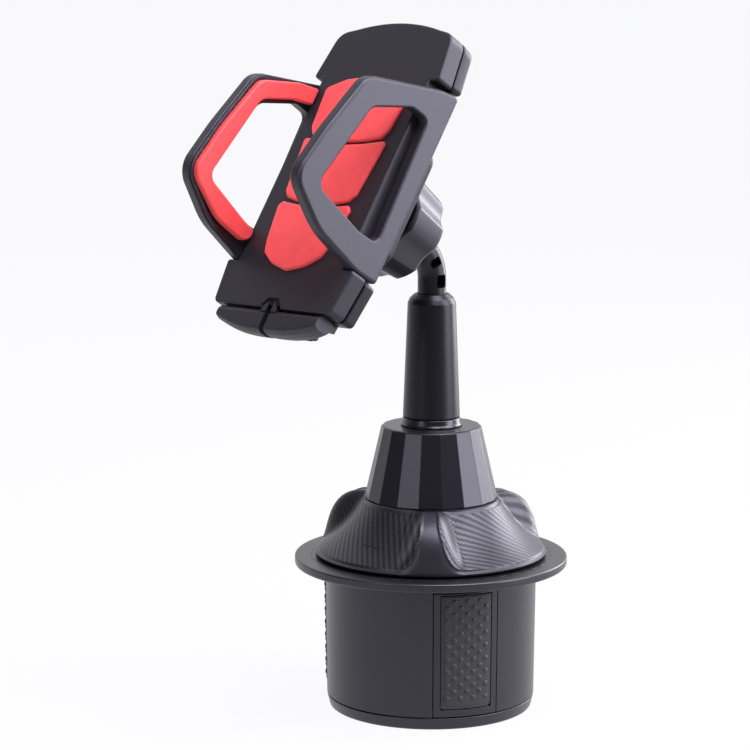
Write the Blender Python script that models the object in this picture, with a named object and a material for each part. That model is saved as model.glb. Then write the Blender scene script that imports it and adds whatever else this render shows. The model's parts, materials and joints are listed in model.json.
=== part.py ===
"""Cup-holder phone mount: an expanding base, a pole, a ball joint and a two-armed cradle.

Frame: metres, +Z up. The origin is the middle of the base's bottom face, on the pole's axis.
The cradle leans back over the base and its front looks towards -Y.
All the design sizes below are millimetres and degrees, and MM turns them into metres.
Inside the cradle, x is its width, y runs up its face and z stands out of its face.
"""
from math import asin, atan2, cos, degrees, pi, radians, sin, sqrt, tan

import bmesh
import bpy
from mathutils import Matrix, Vector
from mathutils.geometry import tessellate_polygon

MM = 0.001
GAP = 0.3                    # clearance between neighbouring pieces
ROUND_STEPS = 48             # facets round the largest round pieces

# Base cup, bottom cap and jaws
CUP_R = 35.0                 # outside radius at the foot of the cup
CUP_DRAFT = 0.012            # outward lean of the wall for each millimetre of height
CUP_WALL = 2.4
CAP_TOP = 4.1
DECK_TOP = 51.9              # top of the flange and of the deck inside it
DECK_THICK = 3.0
FLANGE_R = 45.85
JAW_HEADINGS = (-21.15, 98.85, 218.85)
JAW_SPAN = 36.6              # angle that one jaw covers
JAW_TOP = 46.3
JAW_WALL = 2.1
JAW_TRAVEL = 9.0
PAD_SPAN = 28.6
PAD_LOW = 7.2
PAD_HIGH = 45.4

# Scroll drive under the knob
PIN_R = 1.5
PIN_REST = 19.0              # radius of each cam pin with the jaws drawn in
SCROLL_TURN = 110.0          # knob turn that drives the jaws right out
CAM_LOW = 45.4
CAM_HIGH = 48.6
CAM_R = 31.2
GUIDE_LOW = 41.6
GUIDE_HIGH = 45.1
SPINDLE_R = 13.7
SPINDLE_TOP = 92.0

# Knob
KNOB_FINS = 3
KNOB_HEADING = 78.45         # heading of the first fin's middle
KNOB_TOP = 71.3
KNOB_LOW = 52.25
KNOB_EDGE_Z = 53.6
KNOB_EDGE_R = 39.2
KNOB_RING_R = 22.4
FIN_FLAT = 5.0               # half the angle over which a fin stands fully out
FIN_HALF = 24.0              # half the angle that one fin covers
FIN_CORE_R = 24.0            # where a fin's flat top starts to fall
FIN_CREST_Z = 71.4

# Collar and pole
CONE_FACETS = 18
CONE_HEADING = -31.55
CONE_LOW = 71.6
CONE_HIGH = 95.6
CONE_LOW_R = 22.3
CONE_HIGH_R = 16.8
POLE_LOW = 99.1
POLE_SHOULDER = 137.4
POLE_TOP = 140.4
POLE_LOW_R = 9.56
POLE_HIGH_R = 8.05
SPIGOT_R = 8.6
SPIGOT_LOW = 60.0

# Neck and ball joint
NECK_R = 4.75
NECK_BEND_R = 13.0
BALL_R = 8.8
BALL_OUT = 14.73             # how far the ball's centre stands out in front of the pole's axis
BALL_Z = 162.48
CRADLE_TILT = 33.65          # lean of the cradle's face back from upright
CRADLE_ROLL = 2.61           # small turn of the cradle on the ball's axis
FACE_FROM_BALL = 35.0        # from the ball's centre to the cradle's front face
BALL_Y = -4.6                # height of the ball's axis on the cradle's face

# Cradle
FACE_SEAM = -6.5             # back of the front cover
BACK_SEAM = -6.9             # front of the back cover
BACK_FACE = -11.9
BACK_INSET = 0.9             # how far the back cover's walls draw in towards its back
HOUSING_BACK = -20.8
WAIST_X = 26.0               # half width of the cradle between its arms
ARM_INNER_X = 26.8
ARM_OUTER_X = 31.0
ARM_BACK = -10.9
ARM_DRAFT = 0.033            # inward lean of the arms for each millimetre in front of their backs
CAVITY_X = 24.2
ARM_LOW_Y = -36.0
ARM_HIGH_Y = 31.9
LINER_INNER_X = 24.2
RACK_BACK = -8.8
RACK_FRONT = -5.4
PINION_TEETH = 12
MODULE = 1.0
FOOT_PIN_Y = -54.4
FOOT_PIN_Z = -2.6
FOOT_PIN_R = 0.75
FOOT_KNUCKLE = 2.7
LUG_R = 1.65                 # round front of each lug that holds the foot pin
LUG_X = (20.2, 21.8)
FOOT_END = 24.8
PAWL_PIVOT = (8.0, -24.0)


def clear_scene():
    for thing in list(bpy.data.objects):
        bpy.data.objects.remove(thing, do_unlink=True)


def finish(name, colour, roughness, metallic=0.0):
    """A plain Principled material."""
    material = bpy.data.materials.new(name)
    material.use_nodes = True
    shader = material.node_tree.nodes["Principled BSDF"]
    shader.inputs["Base Color"].default_value = (*colour, 1.0)
    shader.inputs["Roughness"].default_value = roughness
    shader.inputs["Metallic"].default_value = metallic
    material.diffuse_color = (*colour, 1.0)
    return material


# ---------------------------------------------------------------- outlines

def circle(radius, steps, centre=(0.0, 0.0)):
    turn = 2 * pi / steps
    return [(centre[0] + radius * cos(k * turn), centre[1] + radius * sin(k * turn)) for k in range(steps)]


def box_outline(x0, x1, y0, y1):
    return [(x0, y0), (x1, y0), (x1, y1), (x0, y1)]


def rounded(corners, steps=4):
    """A closed outline through (x, y, radius) corners, with each corner turned into an arc."""
    outline = []
    count = len(corners)
    for index, (x, y, radius) in enumerate(corners):
        corner = Vector((x, y))
        before = Vector(corners[index - 1][:2]) - corner
        after = Vector(corners[(index + 1) % count][:2]) - corner
        before.normalize()
        after.normalize()
        angle = before.angle(after)
        if radius <= 0.0 or angle > radians(179.0):
            outline.append((x, y))
            continue
        centre = corner + (before + after).normalized() * (radius / sin(angle / 2))
        start = corner + before * (radius / tan(angle / 2)) - centre
        sweep = start.angle_signed(corner + after * (radius / tan(angle / 2)) - centre)
        for step in range(steps + 1):
            spoke = start.copy()
            spoke.rotate(Matrix.Rotation(-sweep * step / steps, 2))
            outline.append(tuple(centre + spoke))
    return outline


def mirrored(half):
    """Closes a half outline, listed upwards on the +x side, with its mirror image."""
    return half + [(-point[0], *point[1:]) for point in reversed(half) if point[0] > 1e-6]


# ---------------------------------------------------------------- solids, as (points, faces)

def prism(outline, low, high, holes=()):
    """Extrudes an outline, with any holes left open right through."""
    loops = [list(outline)] + [list(hole) for hole in holes]
    flat = [point for loop in loops for point in loop]
    count = len(flat)
    points = [(x, y, low) for x, y in flat] + [(x, y, high) for x, y in flat]
    caps = [tuple(range(count))]
    if holes:
        caps = tessellate_polygon([[Vector((x, y, 0.0)) for x, y in loop] for loop in loops])
    faces = [tuple(cap) for cap in caps] + [tuple(index + count for index in cap) for cap in caps]
    first = 0
    for loop in loops:
        size = len(loop)
        for k in range(size):
            a = first + k
            b = first + (k + 1) % size
            faces.append((a, b, b + count, a + count))
        first += size
    return points, faces


def revolved(loop_at, steps, start=0.0, sweep=360.0):
    """Turns a closed (radius, height) loop about Z. loop_at gives the loop at each heading in degrees."""
    whole = sweep >= 360.0
    rings = steps if whole else steps + 1
    points = []
    index = []
    for k in range(rings):
        heading = start + sweep * k / steps
        row = []
        for order, (r, z) in enumerate(loop_at(heading)):
            if r < 1e-6 and k > 0 and whole:
                row.append(index[0][order])
                continue
            row.append(len(points))
            points.append((r * cos(radians(heading)), r * sin(radians(heading)), z))
        index.append(row)
    faces = []
    size = len(index[0])
    for k in range(steps):
        this = index[k]
        following = index[(k + 1) % rings]
        for j in range(size):
            quad = [this[j], following[j], following[(j + 1) % size], this[(j + 1) % size]]
            face = [corner for place, corner in enumerate(quad) if corner not in quad[:place]]
            if len(face) > 2:
                faces.append(tuple(face))
    if not whole:
        faces += [tuple(index[0]), tuple(index[-1])]
    return points, faces


def turned(loop, steps, start=0.0, sweep=360.0):
    return revolved(lambda heading: loop, steps, start, sweep)


def lofted(sections):
    """Skins a row of closed sections that have the same number of points, and caps both ends."""
    size = len(sections[0])
    points = [tuple(point) for section in sections for point in section]
    faces = [tuple(range(size)), tuple(range(len(points) - size, len(points)))]
    for row in range(len(sections) - 1):
        for k in range(size):
            a = row * size + k
            b = row * size + (k + 1) % size
            faces.append((a, b, b + size, a + size))
    return points, faces


def swept(path, radii, sides):
    """A round rod along a path in the plane x = 0 or a gentle 3-D path, with a radius at each point."""
    spots = [Vector(spot) for spot in path]
    sections = []
    for index, spot in enumerate(spots):
        ahead = spots[min(index + 1, len(spots) - 1)]
        behind = spots[max(index - 1, 0)]
        forward = (ahead - behind).normalized()
        side = Vector((1.0, 0.0, 0.0))
        if abs(forward.dot(side)) > 0.9:
            side = Vector((0.0, 0.0, 1.0))
        side = (side - forward * side.dot(forward)).normalized()
        up = forward.cross(side)
        sections.append([spot + radii[index] * (side * x + up * y) for x, y in circle(1.0, sides)])
    return lofted(sections)


def coil(radius, wire, turns, low, high, per_turn=10, sides=4):
    """A round-wire helix about Z."""
    count = int(turns * per_turn)
    sections = []
    for step in range(count + 1):
        heading = 2 * pi * step / per_turn
        out = Vector((cos(heading), sin(heading), 0.0))
        height = low + (high - low) * step / count
        centre = out * radius + Vector((0.0, 0.0, height))
        sections.append([centre + wire * (out * x + Vector((0.0, 0.0, 1.0)) * y) for x, y in circle(1.0, sides)])
    return lofted(sections)


def moved(shape, x=0.0, y=0.0, z=0.0):
    points, faces = shape
    return [(a + x, b + y, c + z) for a, b, c in points], faces


def along_x(shape):
    """Maps an outline's x, y and height to the cradle's y, z and x."""
    points, faces = shape
    return [(height, a, b) for a, b, height in points], faces


def along_y(shape):
    """Maps a shape about Z to one about Y."""
    points, faces = shape
    return [(a, c, -b) for a, b, c in points], faces


def flipped(shape):
    """The mirror image in x = 0."""
    points, faces = shape
    return [(-a, b, c) for a, b, c in points], faces


def brick(x0, x1, y0, y1, z0, z1):
    return prism(box_outline(x0, x1, y0, y1), z0, z1)


def rod(radius, low, high, x=0.0, y=0.0, steps=16):
    return prism(circle(radius, steps, (x, y)), low, high)


# ---------------------------------------------------------------- Blender objects

def solid(name, shape, cut=(), add=()):
    """Makes one object from a shape, then unites the shapes in add and takes away those in cut."""
    body = raw_object(name, shape)
    for extra in add:
        combine(body, extra, "UNION")
    for hole in cut:
        combine(body, hole, "DIFFERENCE")
    return body


def raw_object(name, shape):
    points, faces = shape
    mesh = bpy.data.meshes.new(name)
    mesh.from_pydata([tuple(c * MM for c in point) for point in points], [], faces)
    work = bmesh.new()
    work.from_mesh(mesh)
    bmesh.ops.remove_doubles(work, verts=work.verts, dist=1e-7)
    bmesh.ops.recalc_face_normals(work, faces=work.faces)
    work.to_mesh(mesh)
    work.free()
    thing = bpy.data.objects.new(name, mesh)
    bpy.context.scene.collection.objects.link(thing)
    return thing


def combine(body, shape, operation):
    """Applies one exact Boolean to the body."""
    tool = raw_object("tool", shape)
    modifier = body.modifiers.new("combine", "BOOLEAN")
    modifier.operation = operation
    modifier.solver = "EXACT"
    modifier.object = tool
    bpy.context.view_layer.update()
    graph = bpy.context.evaluated_depsgraph_get()
    result = bpy.data.meshes.new_from_object(body.evaluated_get(graph))
    body.modifiers.clear()
    body.data = result
    bpy.data.objects.remove(tool, do_unlink=True)


def pivot(name, frame, point):
    """An empty on a joint's axis. Pieces hung on it are drawn in the frame's own coordinates."""
    empty = bpy.data.objects.new(name, None)
    empty.empty_display_size = 5 * MM
    empty.matrix_world = frame @ Matrix.Translation(Vector(point) * MM)
    empty["drawn_at"] = [float(c) for c in point]
    bpy.context.scene.collection.objects.link(empty)
    return empty


def hang(thing, empty, material, crease=32.0):
    """Gives a piece its finish and parents it to its pivot."""
    thing.data.transform(Matrix.Translation(-Vector(empty["drawn_at"]) * MM))
    thing.data.materials.clear()
    thing.data.materials.append(material)
    thing.data.shade_smooth()
    thing.data.set_sharp_from_angle(angle=radians(crease))
    thing.parent = empty
    return thing


def screw_shape(head_r, head_h, shank_r, length, steps=10):
    """A pan-head screw with a hex socket's hollow, head underside at height 0 and shank upwards."""
    drive_r = head_r * 0.45
    loop = [(0.0, length), (shank_r, length - shank_r * 0.6), (shank_r, 0.0), (head_r, 0.0),
            (head_r, -head_h * 0.6), (head_r * 0.75, -head_h), (drive_r, -head_h), (drive_r, -head_h * 0.5),
            (0.0, -head_h * 0.5)]
    return turned(loop, steps)


# ---------------------------------------------------------------- base

def cup_radius(z):
    return CUP_R + CUP_DRAFT * (z - CAP_TOP)


def base_cup():
    low = CAP_TOP + GAP
    deck_low = DECK_TOP - DECK_THICK
    loop = [(cup_radius(low), low), (cup_radius(deck_low - 0.9), deck_low - 0.9), (36.4, deck_low),
            (FLANGE_R - 0.7, deck_low), (FLANGE_R, deck_low + 0.7), (FLANGE_R, DECK_TOP - 0.6),
            (FLANGE_R - 0.6, DECK_TOP), (17.7, DECK_TOP), (17.7, deck_low),
            (cup_radius(deck_low) - CUP_WALL, deck_low), (cup_radius(low) - CUP_WALL, low)]
    half = JAW_SPAN / 2 + degrees(GAP / CUP_R)
    opening = [(CUP_R - 6, 2.0), (CUP_R + 4, 2.0), (CUP_R + 4, JAW_TOP + GAP), (CUP_R - 6, JAW_TOP + GAP)]
    windows = [turned(opening, 6, heading - half, 2 * half) for heading in JAW_HEADINGS]
    return solid("base_cup", turned(loop, ROUND_STEPS), cut=windows)


def cap_screw_spots():
    return [(24.0 * cos(radians(h + 60)), 24.0 * sin(radians(h + 60))) for h in JAW_HEADINGS]


def base_cap():
    lip_r = CUP_R - CUP_WALL - GAP
    loop = [(0.0, 0.0), (9.0, 0.0), (9.7, 0.7), (30.2, 0.7), (30.8, 0.0), (33.9, 0.0), (34.8, 0.9), (cup_radius(CAP_TOP), CAP_TOP),
            (lip_r, CAP_TOP), (lip_r, 7.2), (lip_r - 1.6, 7.2), (lip_r - 1.6, 2.9), (0.0, 2.9)]
    rails = []
    for heading in JAW_HEADINGS:
        for side in (-1, 1):
            edge = sorted((side * 4.2, side * 6.0))
            rails.append(spun(brick(11.0, 28.5, *edge, 2.0, 12.0), heading))
    holes = []
    for x, y in cap_screw_spots():
        rails.append(moved(rod(3.4, 2.0, 9.0, steps=10), x, y))
        holes.append(moved(rod(1.5, -1.0, 12.0, steps=8), x, y))
        holes.append(moved(rod(3.1, -1.0, 2.6, steps=12), x, y))
    return solid("base_cap", turned(loop, ROUND_STEPS), add=rails, cut=holes)


def spun(shape, heading):
    """Turns a shape about Z by a heading in degrees."""
    points, faces = shape
    c = cos(radians(heading))
    s = sin(radians(heading))
    return [(x * c - y * s, x * s + y * c, z) for x, y, z in points], faces


def guide_plate():
    plate = prism(circle(CUP_R - CUP_WALL - GAP, 40), GUIDE_LOW, GUIDE_HIGH, holes=[circle(7.0, 24)])
    rails = []
    slots = []
    slot_half = PIN_R + 0.5
    for heading in JAW_HEADINGS:
        for side in (-1, 1):
            edge = sorted((side * 6.3, side * 8.2))
            rails.append(spun(brick(15.0, 31.0, *edge, 37.0, GUIDE_LOW + 1.0), heading))
        reach = (PIN_REST - slot_half, PIN_REST + JAW_TRAVEL + slot_half)
        slots.append(spun(brick(*reach, -slot_half, slot_half, 36.0, 50.0), heading))
    for x, y in cap_screw_spots():
        rails.append(moved(rod(3.4, 9.4, GUIDE_LOW + 1.0, steps=10), x, y))
        slots.append(moved(rod(1.3, 9.0, 30.0, steps=8), x, y))
    return solid("guide_plate", plate, add=rails, cut=slots)


def jaw_shape():
    """A wall segment with an upper tongue for the cam pin and a lower tongue for the cap's rails."""
    low = CAP_TOP + GAP + 0.1
    loop = [(cup_radius(low), low), (cup_radius(JAW_TOP), JAW_TOP),
            (CUP_R - JAW_WALL, JAW_TOP), (CUP_R - JAW_WALL, low)]
    return turned(loop, 6, -JAW_SPAN / 2, JAW_SPAN)


def jaw_piece(name):
    tongues = [brick(13.0, 33.4, -6.0, 6.0, 37.0, GUIDE_LOW - GAP), brick(12.0, 33.4, -3.9, 3.9, 7.9, 12.4),
               brick(26.0, 33.4, -1.2, 1.2, 10.0, 39.0)]
    pocket_loop = [(CUP_R - 0.9, PAD_LOW - GAP), (CUP_R + 4, PAD_LOW - GAP),
                   (CUP_R + 4, PAD_HIGH + GAP), (CUP_R - 0.9, PAD_HIGH + GAP)]
    span = PAD_SPAN + 2 * degrees(GAP / CUP_R)
    pocket = turned(pocket_loop, 6, -span / 2, span)
    pin_hole = moved(rod(PIN_R + GAP, 39.0, 44.0, steps=12), PIN_REST)
    return solid(name, jaw_shape(), add=tongues, cut=[pocket, pin_hole])


def jaw_pad(name):
    loop = [(CUP_R - 0.6, PAD_LOW), (cup_radius(PAD_LOW) + 0.25, PAD_LOW),
            (cup_radius(PAD_HIGH) + 0.25, PAD_HIGH), (CUP_R - 0.6, PAD_HIGH)]
    return solid(name, turned(loop, 6, -PAD_SPAN / 2, PAD_SPAN))


def scroll_slot(heading):
    """The outline of one spiral slot, which a pin at this heading follows as the cam turns."""
    steps = 9
    half = PIN_R + 0.35
    middle = []
    for step in range(steps + 1):
        turn = SCROLL_TURN * step / steps
        r = PIN_REST + JAW_TRAVEL * step / steps
        middle.append(Vector((r * cos(radians(heading - turn)), r * sin(radians(heading - turn)))))
    left = []
    right = []
    for step, spot in enumerate(middle):
        forward = (middle[min(step + 1, steps)] - middle[max(step - 1, 0)]).normalized()
        side = Vector((-forward.y, forward.x)) * half
        left.append(spot + side)
        right.append(spot - side)
    ends = []
    for spot, start in ((middle[-1], left[-1]), (middle[0], right[0])):
        spoke = start - spot
        for turn in (-45.0, -90.0, -135.0):
            out = spoke.copy()
            out.rotate(Matrix.Rotation(radians(turn), 2))
            ends.append(spot + out)
    outline = left + ends[:3] + right[::-1] + ends[3:]
    return [tuple(point) for point in outline]


def scroll_cam():
    loop = [(14.1, CAM_LOW), (CAM_R, CAM_LOW), (CAM_R, CAM_HIGH), (17.2, CAM_HIGH), (17.2, 54.4), (14.1, 54.4)]
    slots = [prism(scroll_slot(heading), CAM_LOW - 2, CAM_HIGH + 2) for heading in JAW_HEADINGS]
    return solid("scroll_cam", turned(loop, 36), cut=slots)


def fin_profile():
    """A fin's section over its middle: a flat top and a boxy quarter oval down to the edge."""
    profile = [(KNOB_RING_R, KNOB_TOP)]
    for swell in (90.0, 75.0, 60.0, 45.0, 30.0, 15.0, 0.0):
        out = cos(radians(swell)) ** 0.85
        up = sin(radians(swell)) ** 0.85
        profile.append((FIN_CORE_R + (KNOB_EDGE_R - FIN_CORE_R) * out,
                        KNOB_EDGE_Z + (FIN_CREST_Z - KNOB_EDGE_Z) * up))
    return profile


def knob_loop(heading):
    """The knob's section: a hollowed cone in the panels, swelling out over each fin."""
    pitch = 360.0 / KNOB_FINS
    off = abs((heading - KNOB_HEADING + pitch / 2) % pitch - pitch / 2)
    fall = min(max((off - FIN_FLAT) / (FIN_HALF - FIN_FLAT), 0.0), 1.0)
    share = 1.0 - fall * fall * (3.0 - 2.0 * fall)
    profile = fin_profile()
    outer = []
    for row, spot in enumerate(profile):
        t = row / (len(profile) - 1)
        dip = 1.1 * sin(pi * t)
        plain = Vector((KNOB_RING_R + (KNOB_EDGE_R - KNOB_RING_R) * t - dip,
                        KNOB_TOP + (KNOB_EDGE_Z - KNOB_TOP) * t - dip))
        outer.append(tuple(plain.lerp(Vector(spot), share)))
    inner = [(36.2, KNOB_LOW), (34.6, KNOB_LOW), (20.4, 67.6), (17.4, 67.6), (17.4, 54.8), (14.1, 54.8),
             (14.1, KNOB_TOP)]
    return outer + inner


def adjusting_knob():
    return solid("adjusting_knob", revolved(knob_loop, 72, KNOB_HEADING))


def spindle():
    loop = [(SPINDLE_R, GUIDE_HIGH + GAP), (SPINDLE_R, SPINDLE_TOP), (SPIGOT_R + GAP, SPINDLE_TOP),
            (SPIGOT_R + GAP, SPIGOT_LOW + 1.0), (12.0, SPIGOT_LOW + 1.0), (12.0, GUIDE_HIGH + GAP)]
    return solid("spindle", turned(loop, 32))


def cone_collar():
    spokes = [CONE_HEADING + 360.0 / CONE_FACETS * k for k in range(CONE_FACETS)]

    def ring(radius, z):
        return [(radius * cos(radians(h)), radius * sin(radians(h)), z) for h in spokes]

    levels = [ring(CONE_LOW_R, CONE_LOW), ring(CONE_HIGH_R, CONE_HIGH), ring(CONE_HIGH_R - 0.6, CONE_HIGH + 0.4)]
    bore = [(0.0, CONE_LOW - 1), (SPINDLE_R + GAP, CONE_LOW - 1), (SPINDLE_R + GAP, SPINDLE_TOP + GAP),
            (SPIGOT_R + GAP, SPINDLE_TOP + GAP), (SPIGOT_R + GAP, CONE_HIGH + 3), (0.0, CONE_HIGH + 3)]
    return solid("cone_collar", lofted(levels), cut=[turned(bore, 32)])


def collar_ring():
    loop = [(SPIGOT_R + GAP, 96.3), (10.4, 96.3), (9.8, 97.0), (9.6, 98.0), (9.5, 98.8), (SPIGOT_R + GAP, 98.8)]
    return solid("collar_ring", turned(loop, 32))


def pole():
    loop = [(2.2, SPIGOT_LOW), (SPIGOT_R, SPIGOT_LOW), (SPIGOT_R, POLE_LOW), (POLE_LOW_R, POLE_LOW),
            (POLE_HIGH_R, POLE_SHOULDER), (7.5, POLE_SHOULDER + 1.5), (5.7, POLE_TOP), (NECK_R + GAP, POLE_TOP),
            (NECK_R + GAP, 119.0), (6.2, 117.8), (6.2, 66.0), (2.2, 66.0)]
    return solid("pole", turned(loop, 32))


def pole_washer():
    return solid("pole_washer", prism(circle(11.4, 28), 58.1, 59.7, holes=[circle(2.4, 12)]))


def pole_screw():
    return solid("pole_screw", moved(screw_shape(4.2, 2.6, 1.9, 9.5, 14), z=57.8))


# ---------------------------------------------------------------- neck and ball joint

def neck_and_ball():
    """Straight out of the pole, round a bend and into the ball, whose front is cut flat."""
    bend = radians(90.0 - CRADLE_TILT)
    corner_z = BALL_Z - BALL_OUT * tan(radians(CRADLE_TILT))
    tangent = NECK_BEND_R * tan(bend / 2)
    path = [(0.0, 0.0, 121.0), (0.0, 0.0, 140.0)]
    steps = 6
    for step in range(steps + 1):
        a = bend * step / steps
        path.append((0.0, -NECK_BEND_R * (1 - cos(a)), corner_z - tangent + NECK_BEND_R * sin(a)))
    radii = [NECK_R] * len(path)
    heading = Vector((0.0, -cos(radians(CRADLE_TILT)), sin(radians(CRADLE_TILT))))
    ball = Vector((0.0, -BALL_OUT, BALL_Z))
    start = asin(NECK_R / BALL_R)
    rings = 7
    for ring in range(rings + 1):
        a = start + (pi - 0.45 - start) * ring / rings
        path.append(tuple(ball - heading * (BALL_R * cos(a))))
        radii.append(BALL_R * sin(a))
    shape = swept(path, radii, 18)
    pockets = []
    for side in (-1, 1):
        reach = sorted((side * 1.6, side * 6.0))
        pockets.append(brick(*reach, -1.7, 2.3, 142.6, 147.0))
        pockets.append(leant(brick(*reach, -2.0, 2.0, -1.6, 1.6), 0.0, -2.1, 151.3, 27.0))
    return solid("neck", shape, cut=pockets)


def leant(shape, x, y, z, angle):
    """Leans a shape towards -Y by an angle in degrees and then moves it."""
    points, faces = shape
    c = cos(radians(angle))
    s = sin(radians(angle))
    return [(a + x, b * c - d * s + y, b * s + d * c + z) for a, b, d in points], faces


def shell_cap(name, inner_r, outer_r, spread):
    """Part of a hollow sphere round the ball, opening towards the neck."""
    rows = 4
    outer = [(outer_r * sin(radians(spread * k / rows)), outer_r * cos(radians(spread * k / rows)))
             for k in range(rows + 1)]
    inner = [(inner_r * sin(radians(spread * k / rows)), inner_r * cos(radians(spread * k / rows)))
             for k in range(rows, -1, -1)]
    return solid(name, moved(turned(outer + inner, 18), 0.0, BALL_Y, -FACE_FROM_BALL))


def ball_socket():
    """The threaded cup: a flange behind the back cover and a split tube round the ball."""
    seat = 11.7
    depth = -FACE_FROM_BALL
    rows = 4
    bowl = [(seat * sin(radians(90.0 * k / rows)), depth + seat * cos(radians(90.0 * k / rows)))
            for k in range(rows + 1)]
    loop = bowl + [(seat, -36.2), (12.2, -36.2), (12.2, -15.0), (17.4, -15.0), (17.4, -12.2), (0.0, -12.2)]
    slots = []
    for turn in (45.0, 135.0):
        slots.append(spun(brick(-13.0, 13.0, -0.9, 0.9, -40.0, -30.0), turn))
    holes = [moved(rod(1.5, -16.0, -11.0, steps=8), *spot) for spot in socket_screw_spots()]
    body = solid("ball_socket", turned(loop, 28), cut=slots + holes)
    body.data.transform(Matrix.Translation((0.0, BALL_Y * MM, 0.0)))
    return body


def socket_screw_spots():
    return [(14.8 * cos(radians(a)), 14.8 * sin(radians(a))) for a in (90.0, 210.0, 330.0)]


def nut_loop(heading):
    """Six broad grips with shallow hollows between them."""
    wave = 0.5 + 0.5 * cos(radians(6 * heading))
    grip = 1.7 * min(1.0, 1.6 * wave)
    return [(12.5, -24.6), (15.6 + grip * 0.8, -24.6), (16.4 + grip, -25.6), (14.6 + grip, -38.9),
            (13.7 + grip, -40.2), (9.7, -40.2), (8.5, -38.4), (9.0, -36.6), (12.5, -36.6)]


def lock_nut():
    return solid("lock_nut", moved(revolved(nut_loop, 48), 0.0, BALL_Y, 0.0))


# ---------------------------------------------------------------- cradle

def face_outline():
    """The cradle's outline: notched foot, recessed waist for the arms, and an arched head."""
    arch_r = 80.0
    head_top = 53.5
    half = [(2.2, -49.3, 0.0), (4.6, -52.0, 0.0), (28.9, -52.0, 2.0), (31.35, -36.3, 0.8), (WAIST_X, -36.3, 0.0),
            (WAIST_X, 32.2, 0.0), (30.65, 32.2, 0.8), (27.6, 49.4, 5.5)]
    for x in (18.0, 12.0, 6.0, 0.0):
        half.append((x, head_top - arch_r + sqrt(arch_r ** 2 - x * x), 0.0))
    return rounded(mirrored(half))


def casing_screw_spots():
    return [(x, y) for x in (-20.0, 20.0) for y in (-42.0, 41.0)]


def rack_window(side, low, high):
    """A slot in one side wall for that side's rack."""
    reach = sorted((side * 23.0, side * 29.0))
    band = (BALL_Y + 4.3, BALL_Y + 11.1) if side > 0 else (BALL_Y - 11.1, BALL_Y - 4.3)
    return brick(*reach, *band, low, high)


def front_cover():
    cuts = [brick(-CAVITY_X, CAVITY_X, -47.0, 47.5, -9.0, -2.0)]
    body = solid("front_cover", prism(face_outline(), FACE_SEAM, 0.0), cut=cuts)
    for x, y in casing_screw_spots():
        combine(body, moved(rod(3.2, FACE_SEAM, -1.5, steps=10), x, y), "UNION")
        combine(body, moved(rod(1.3, -8.0, -2.2, steps=8), x, y), "DIFFERENCE")
    for side in (-1, 1):
        combine(body, rack_window(side, -8.0, RACK_FRONT + GAP), "DIFFERENCE")
    return body


def foot_lug(x0, x1):
    """A hanging lug with a round front for the foot pin, under the front cover's lower edge."""
    side = [(-48.2, BACK_FACE), (-48.2, BACK_SEAM), (-52.35, BACK_SEAM)]
    for a in (-30.0, 10.0, 50.0, 90.0, 130.0, 170.0, 200.0):
        side.append((FOOT_PIN_Y + LUG_R * cos(radians(a)), FOOT_PIN_Z + LUG_R * sin(radians(a))))
    side.append((-54.2, BACK_FACE))
    return along_x(prism(side, x0, x1))


def back_cover():
    outline = face_outline()
    shrunk = [(x * (1 - BACK_INSET / 31.0), y * (1 - BACK_INSET / 52.0) if abs(y) > 40.0 else y)
              for x, y in outline]
    shell = lofted([[(x, y, BACK_FACE) for x, y in shrunk], [(x, y, BACK_SEAM) for x, y in outline]])
    body = solid("back_cover", shell, cut=[brick(-CAVITY_X, CAVITY_X, -47.0, 47.5, -10.1, -5.0)])
    adds = [foot_lug(-0.9, 0.9), foot_lug(*LUG_X), foot_lug(-LUG_X[1], -LUG_X[0]),
            moved(rod(1.4, -11.0, -5.6, steps=14), *PAWL_PIVOT),
            brick(-4.0, 4.0, -26.2, -24.8, -17.6, -11.0)]
    for x, y in casing_screw_spots():
        adds.append(moved(rod(3.4, -11.0, BACK_SEAM, steps=10), x, y))
    for shape in adds:
        combine(body, shape, "UNION")
    cuts = [along_x(prism(circle(FOOT_PIN_R + GAP, 12, (FOOT_PIN_Y, FOOT_PIN_Z)), -40.0, 40.0)),
            brick(-2.2, 2.2, -32.2, -26.6, -14.0, -8.0),
            moved(rod(1.8, -14.0, -8.0, steps=14), 0.0, BALL_Y)]
    for x, y in casing_screw_spots():
        cuts.append(moved(rod(1.5, -14.0, -5.0, steps=8), x, y))
        cuts.append(moved(rod(3.1, -14.0, -10.2, steps=12), x, y))
    for x, y in socket_screw_spots():
        cuts.append(moved(rod(1.3, -13.0, -9.0, steps=8), x, y + BALL_Y))
    for side in (-1, 1):
        cuts.append(rack_window(side, RACK_BACK - GAP, -5.0))
    for shape in cuts:
        combine(body, shape, "DIFFERENCE")
    return body


def joint_housing():
    """The raised box behind the cradle, with a spine that carries the release slider."""
    low = BALL_Y - 21.0
    high = BALL_Y + 21.0
    box = prism(rounded([(-21, low, 5), (21, low, 5), (21, high, 5), (-21, high, 5)]), HOUSING_BACK, BACK_FACE - GAP)
    hollow = prism(rounded([(-19.2, low + 1.8, 3.2), (19.2, low + 1.8, 3.2), (19.2, high - 1.8, 3.2),
                            (-19.2, high - 1.8, 3.2)]), HOUSING_BACK + 1.8, BACK_FACE + 5.0)
    spine = brick(-8.6, 8.6, -50.4, low + 4.0, -20.3, BACK_FACE - GAP)
    channel = brick(-6.9, 6.9, -55.0, low + 6.0, -18.9, BACK_FACE + 5.0)
    bore = moved(rod(12.6, -30.0, -5.0, steps=36), 0.0, BALL_Y)
    return solid("joint_housing", box, add=[spine], cut=[hollow, channel, bore])


def drafted(shape):
    """Leans a right-hand piece inwards towards the front."""
    points, faces = shape
    return [(x - ARM_DRAFT * (z - ARM_BACK), y, z) for x, y, z in points], faces


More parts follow.
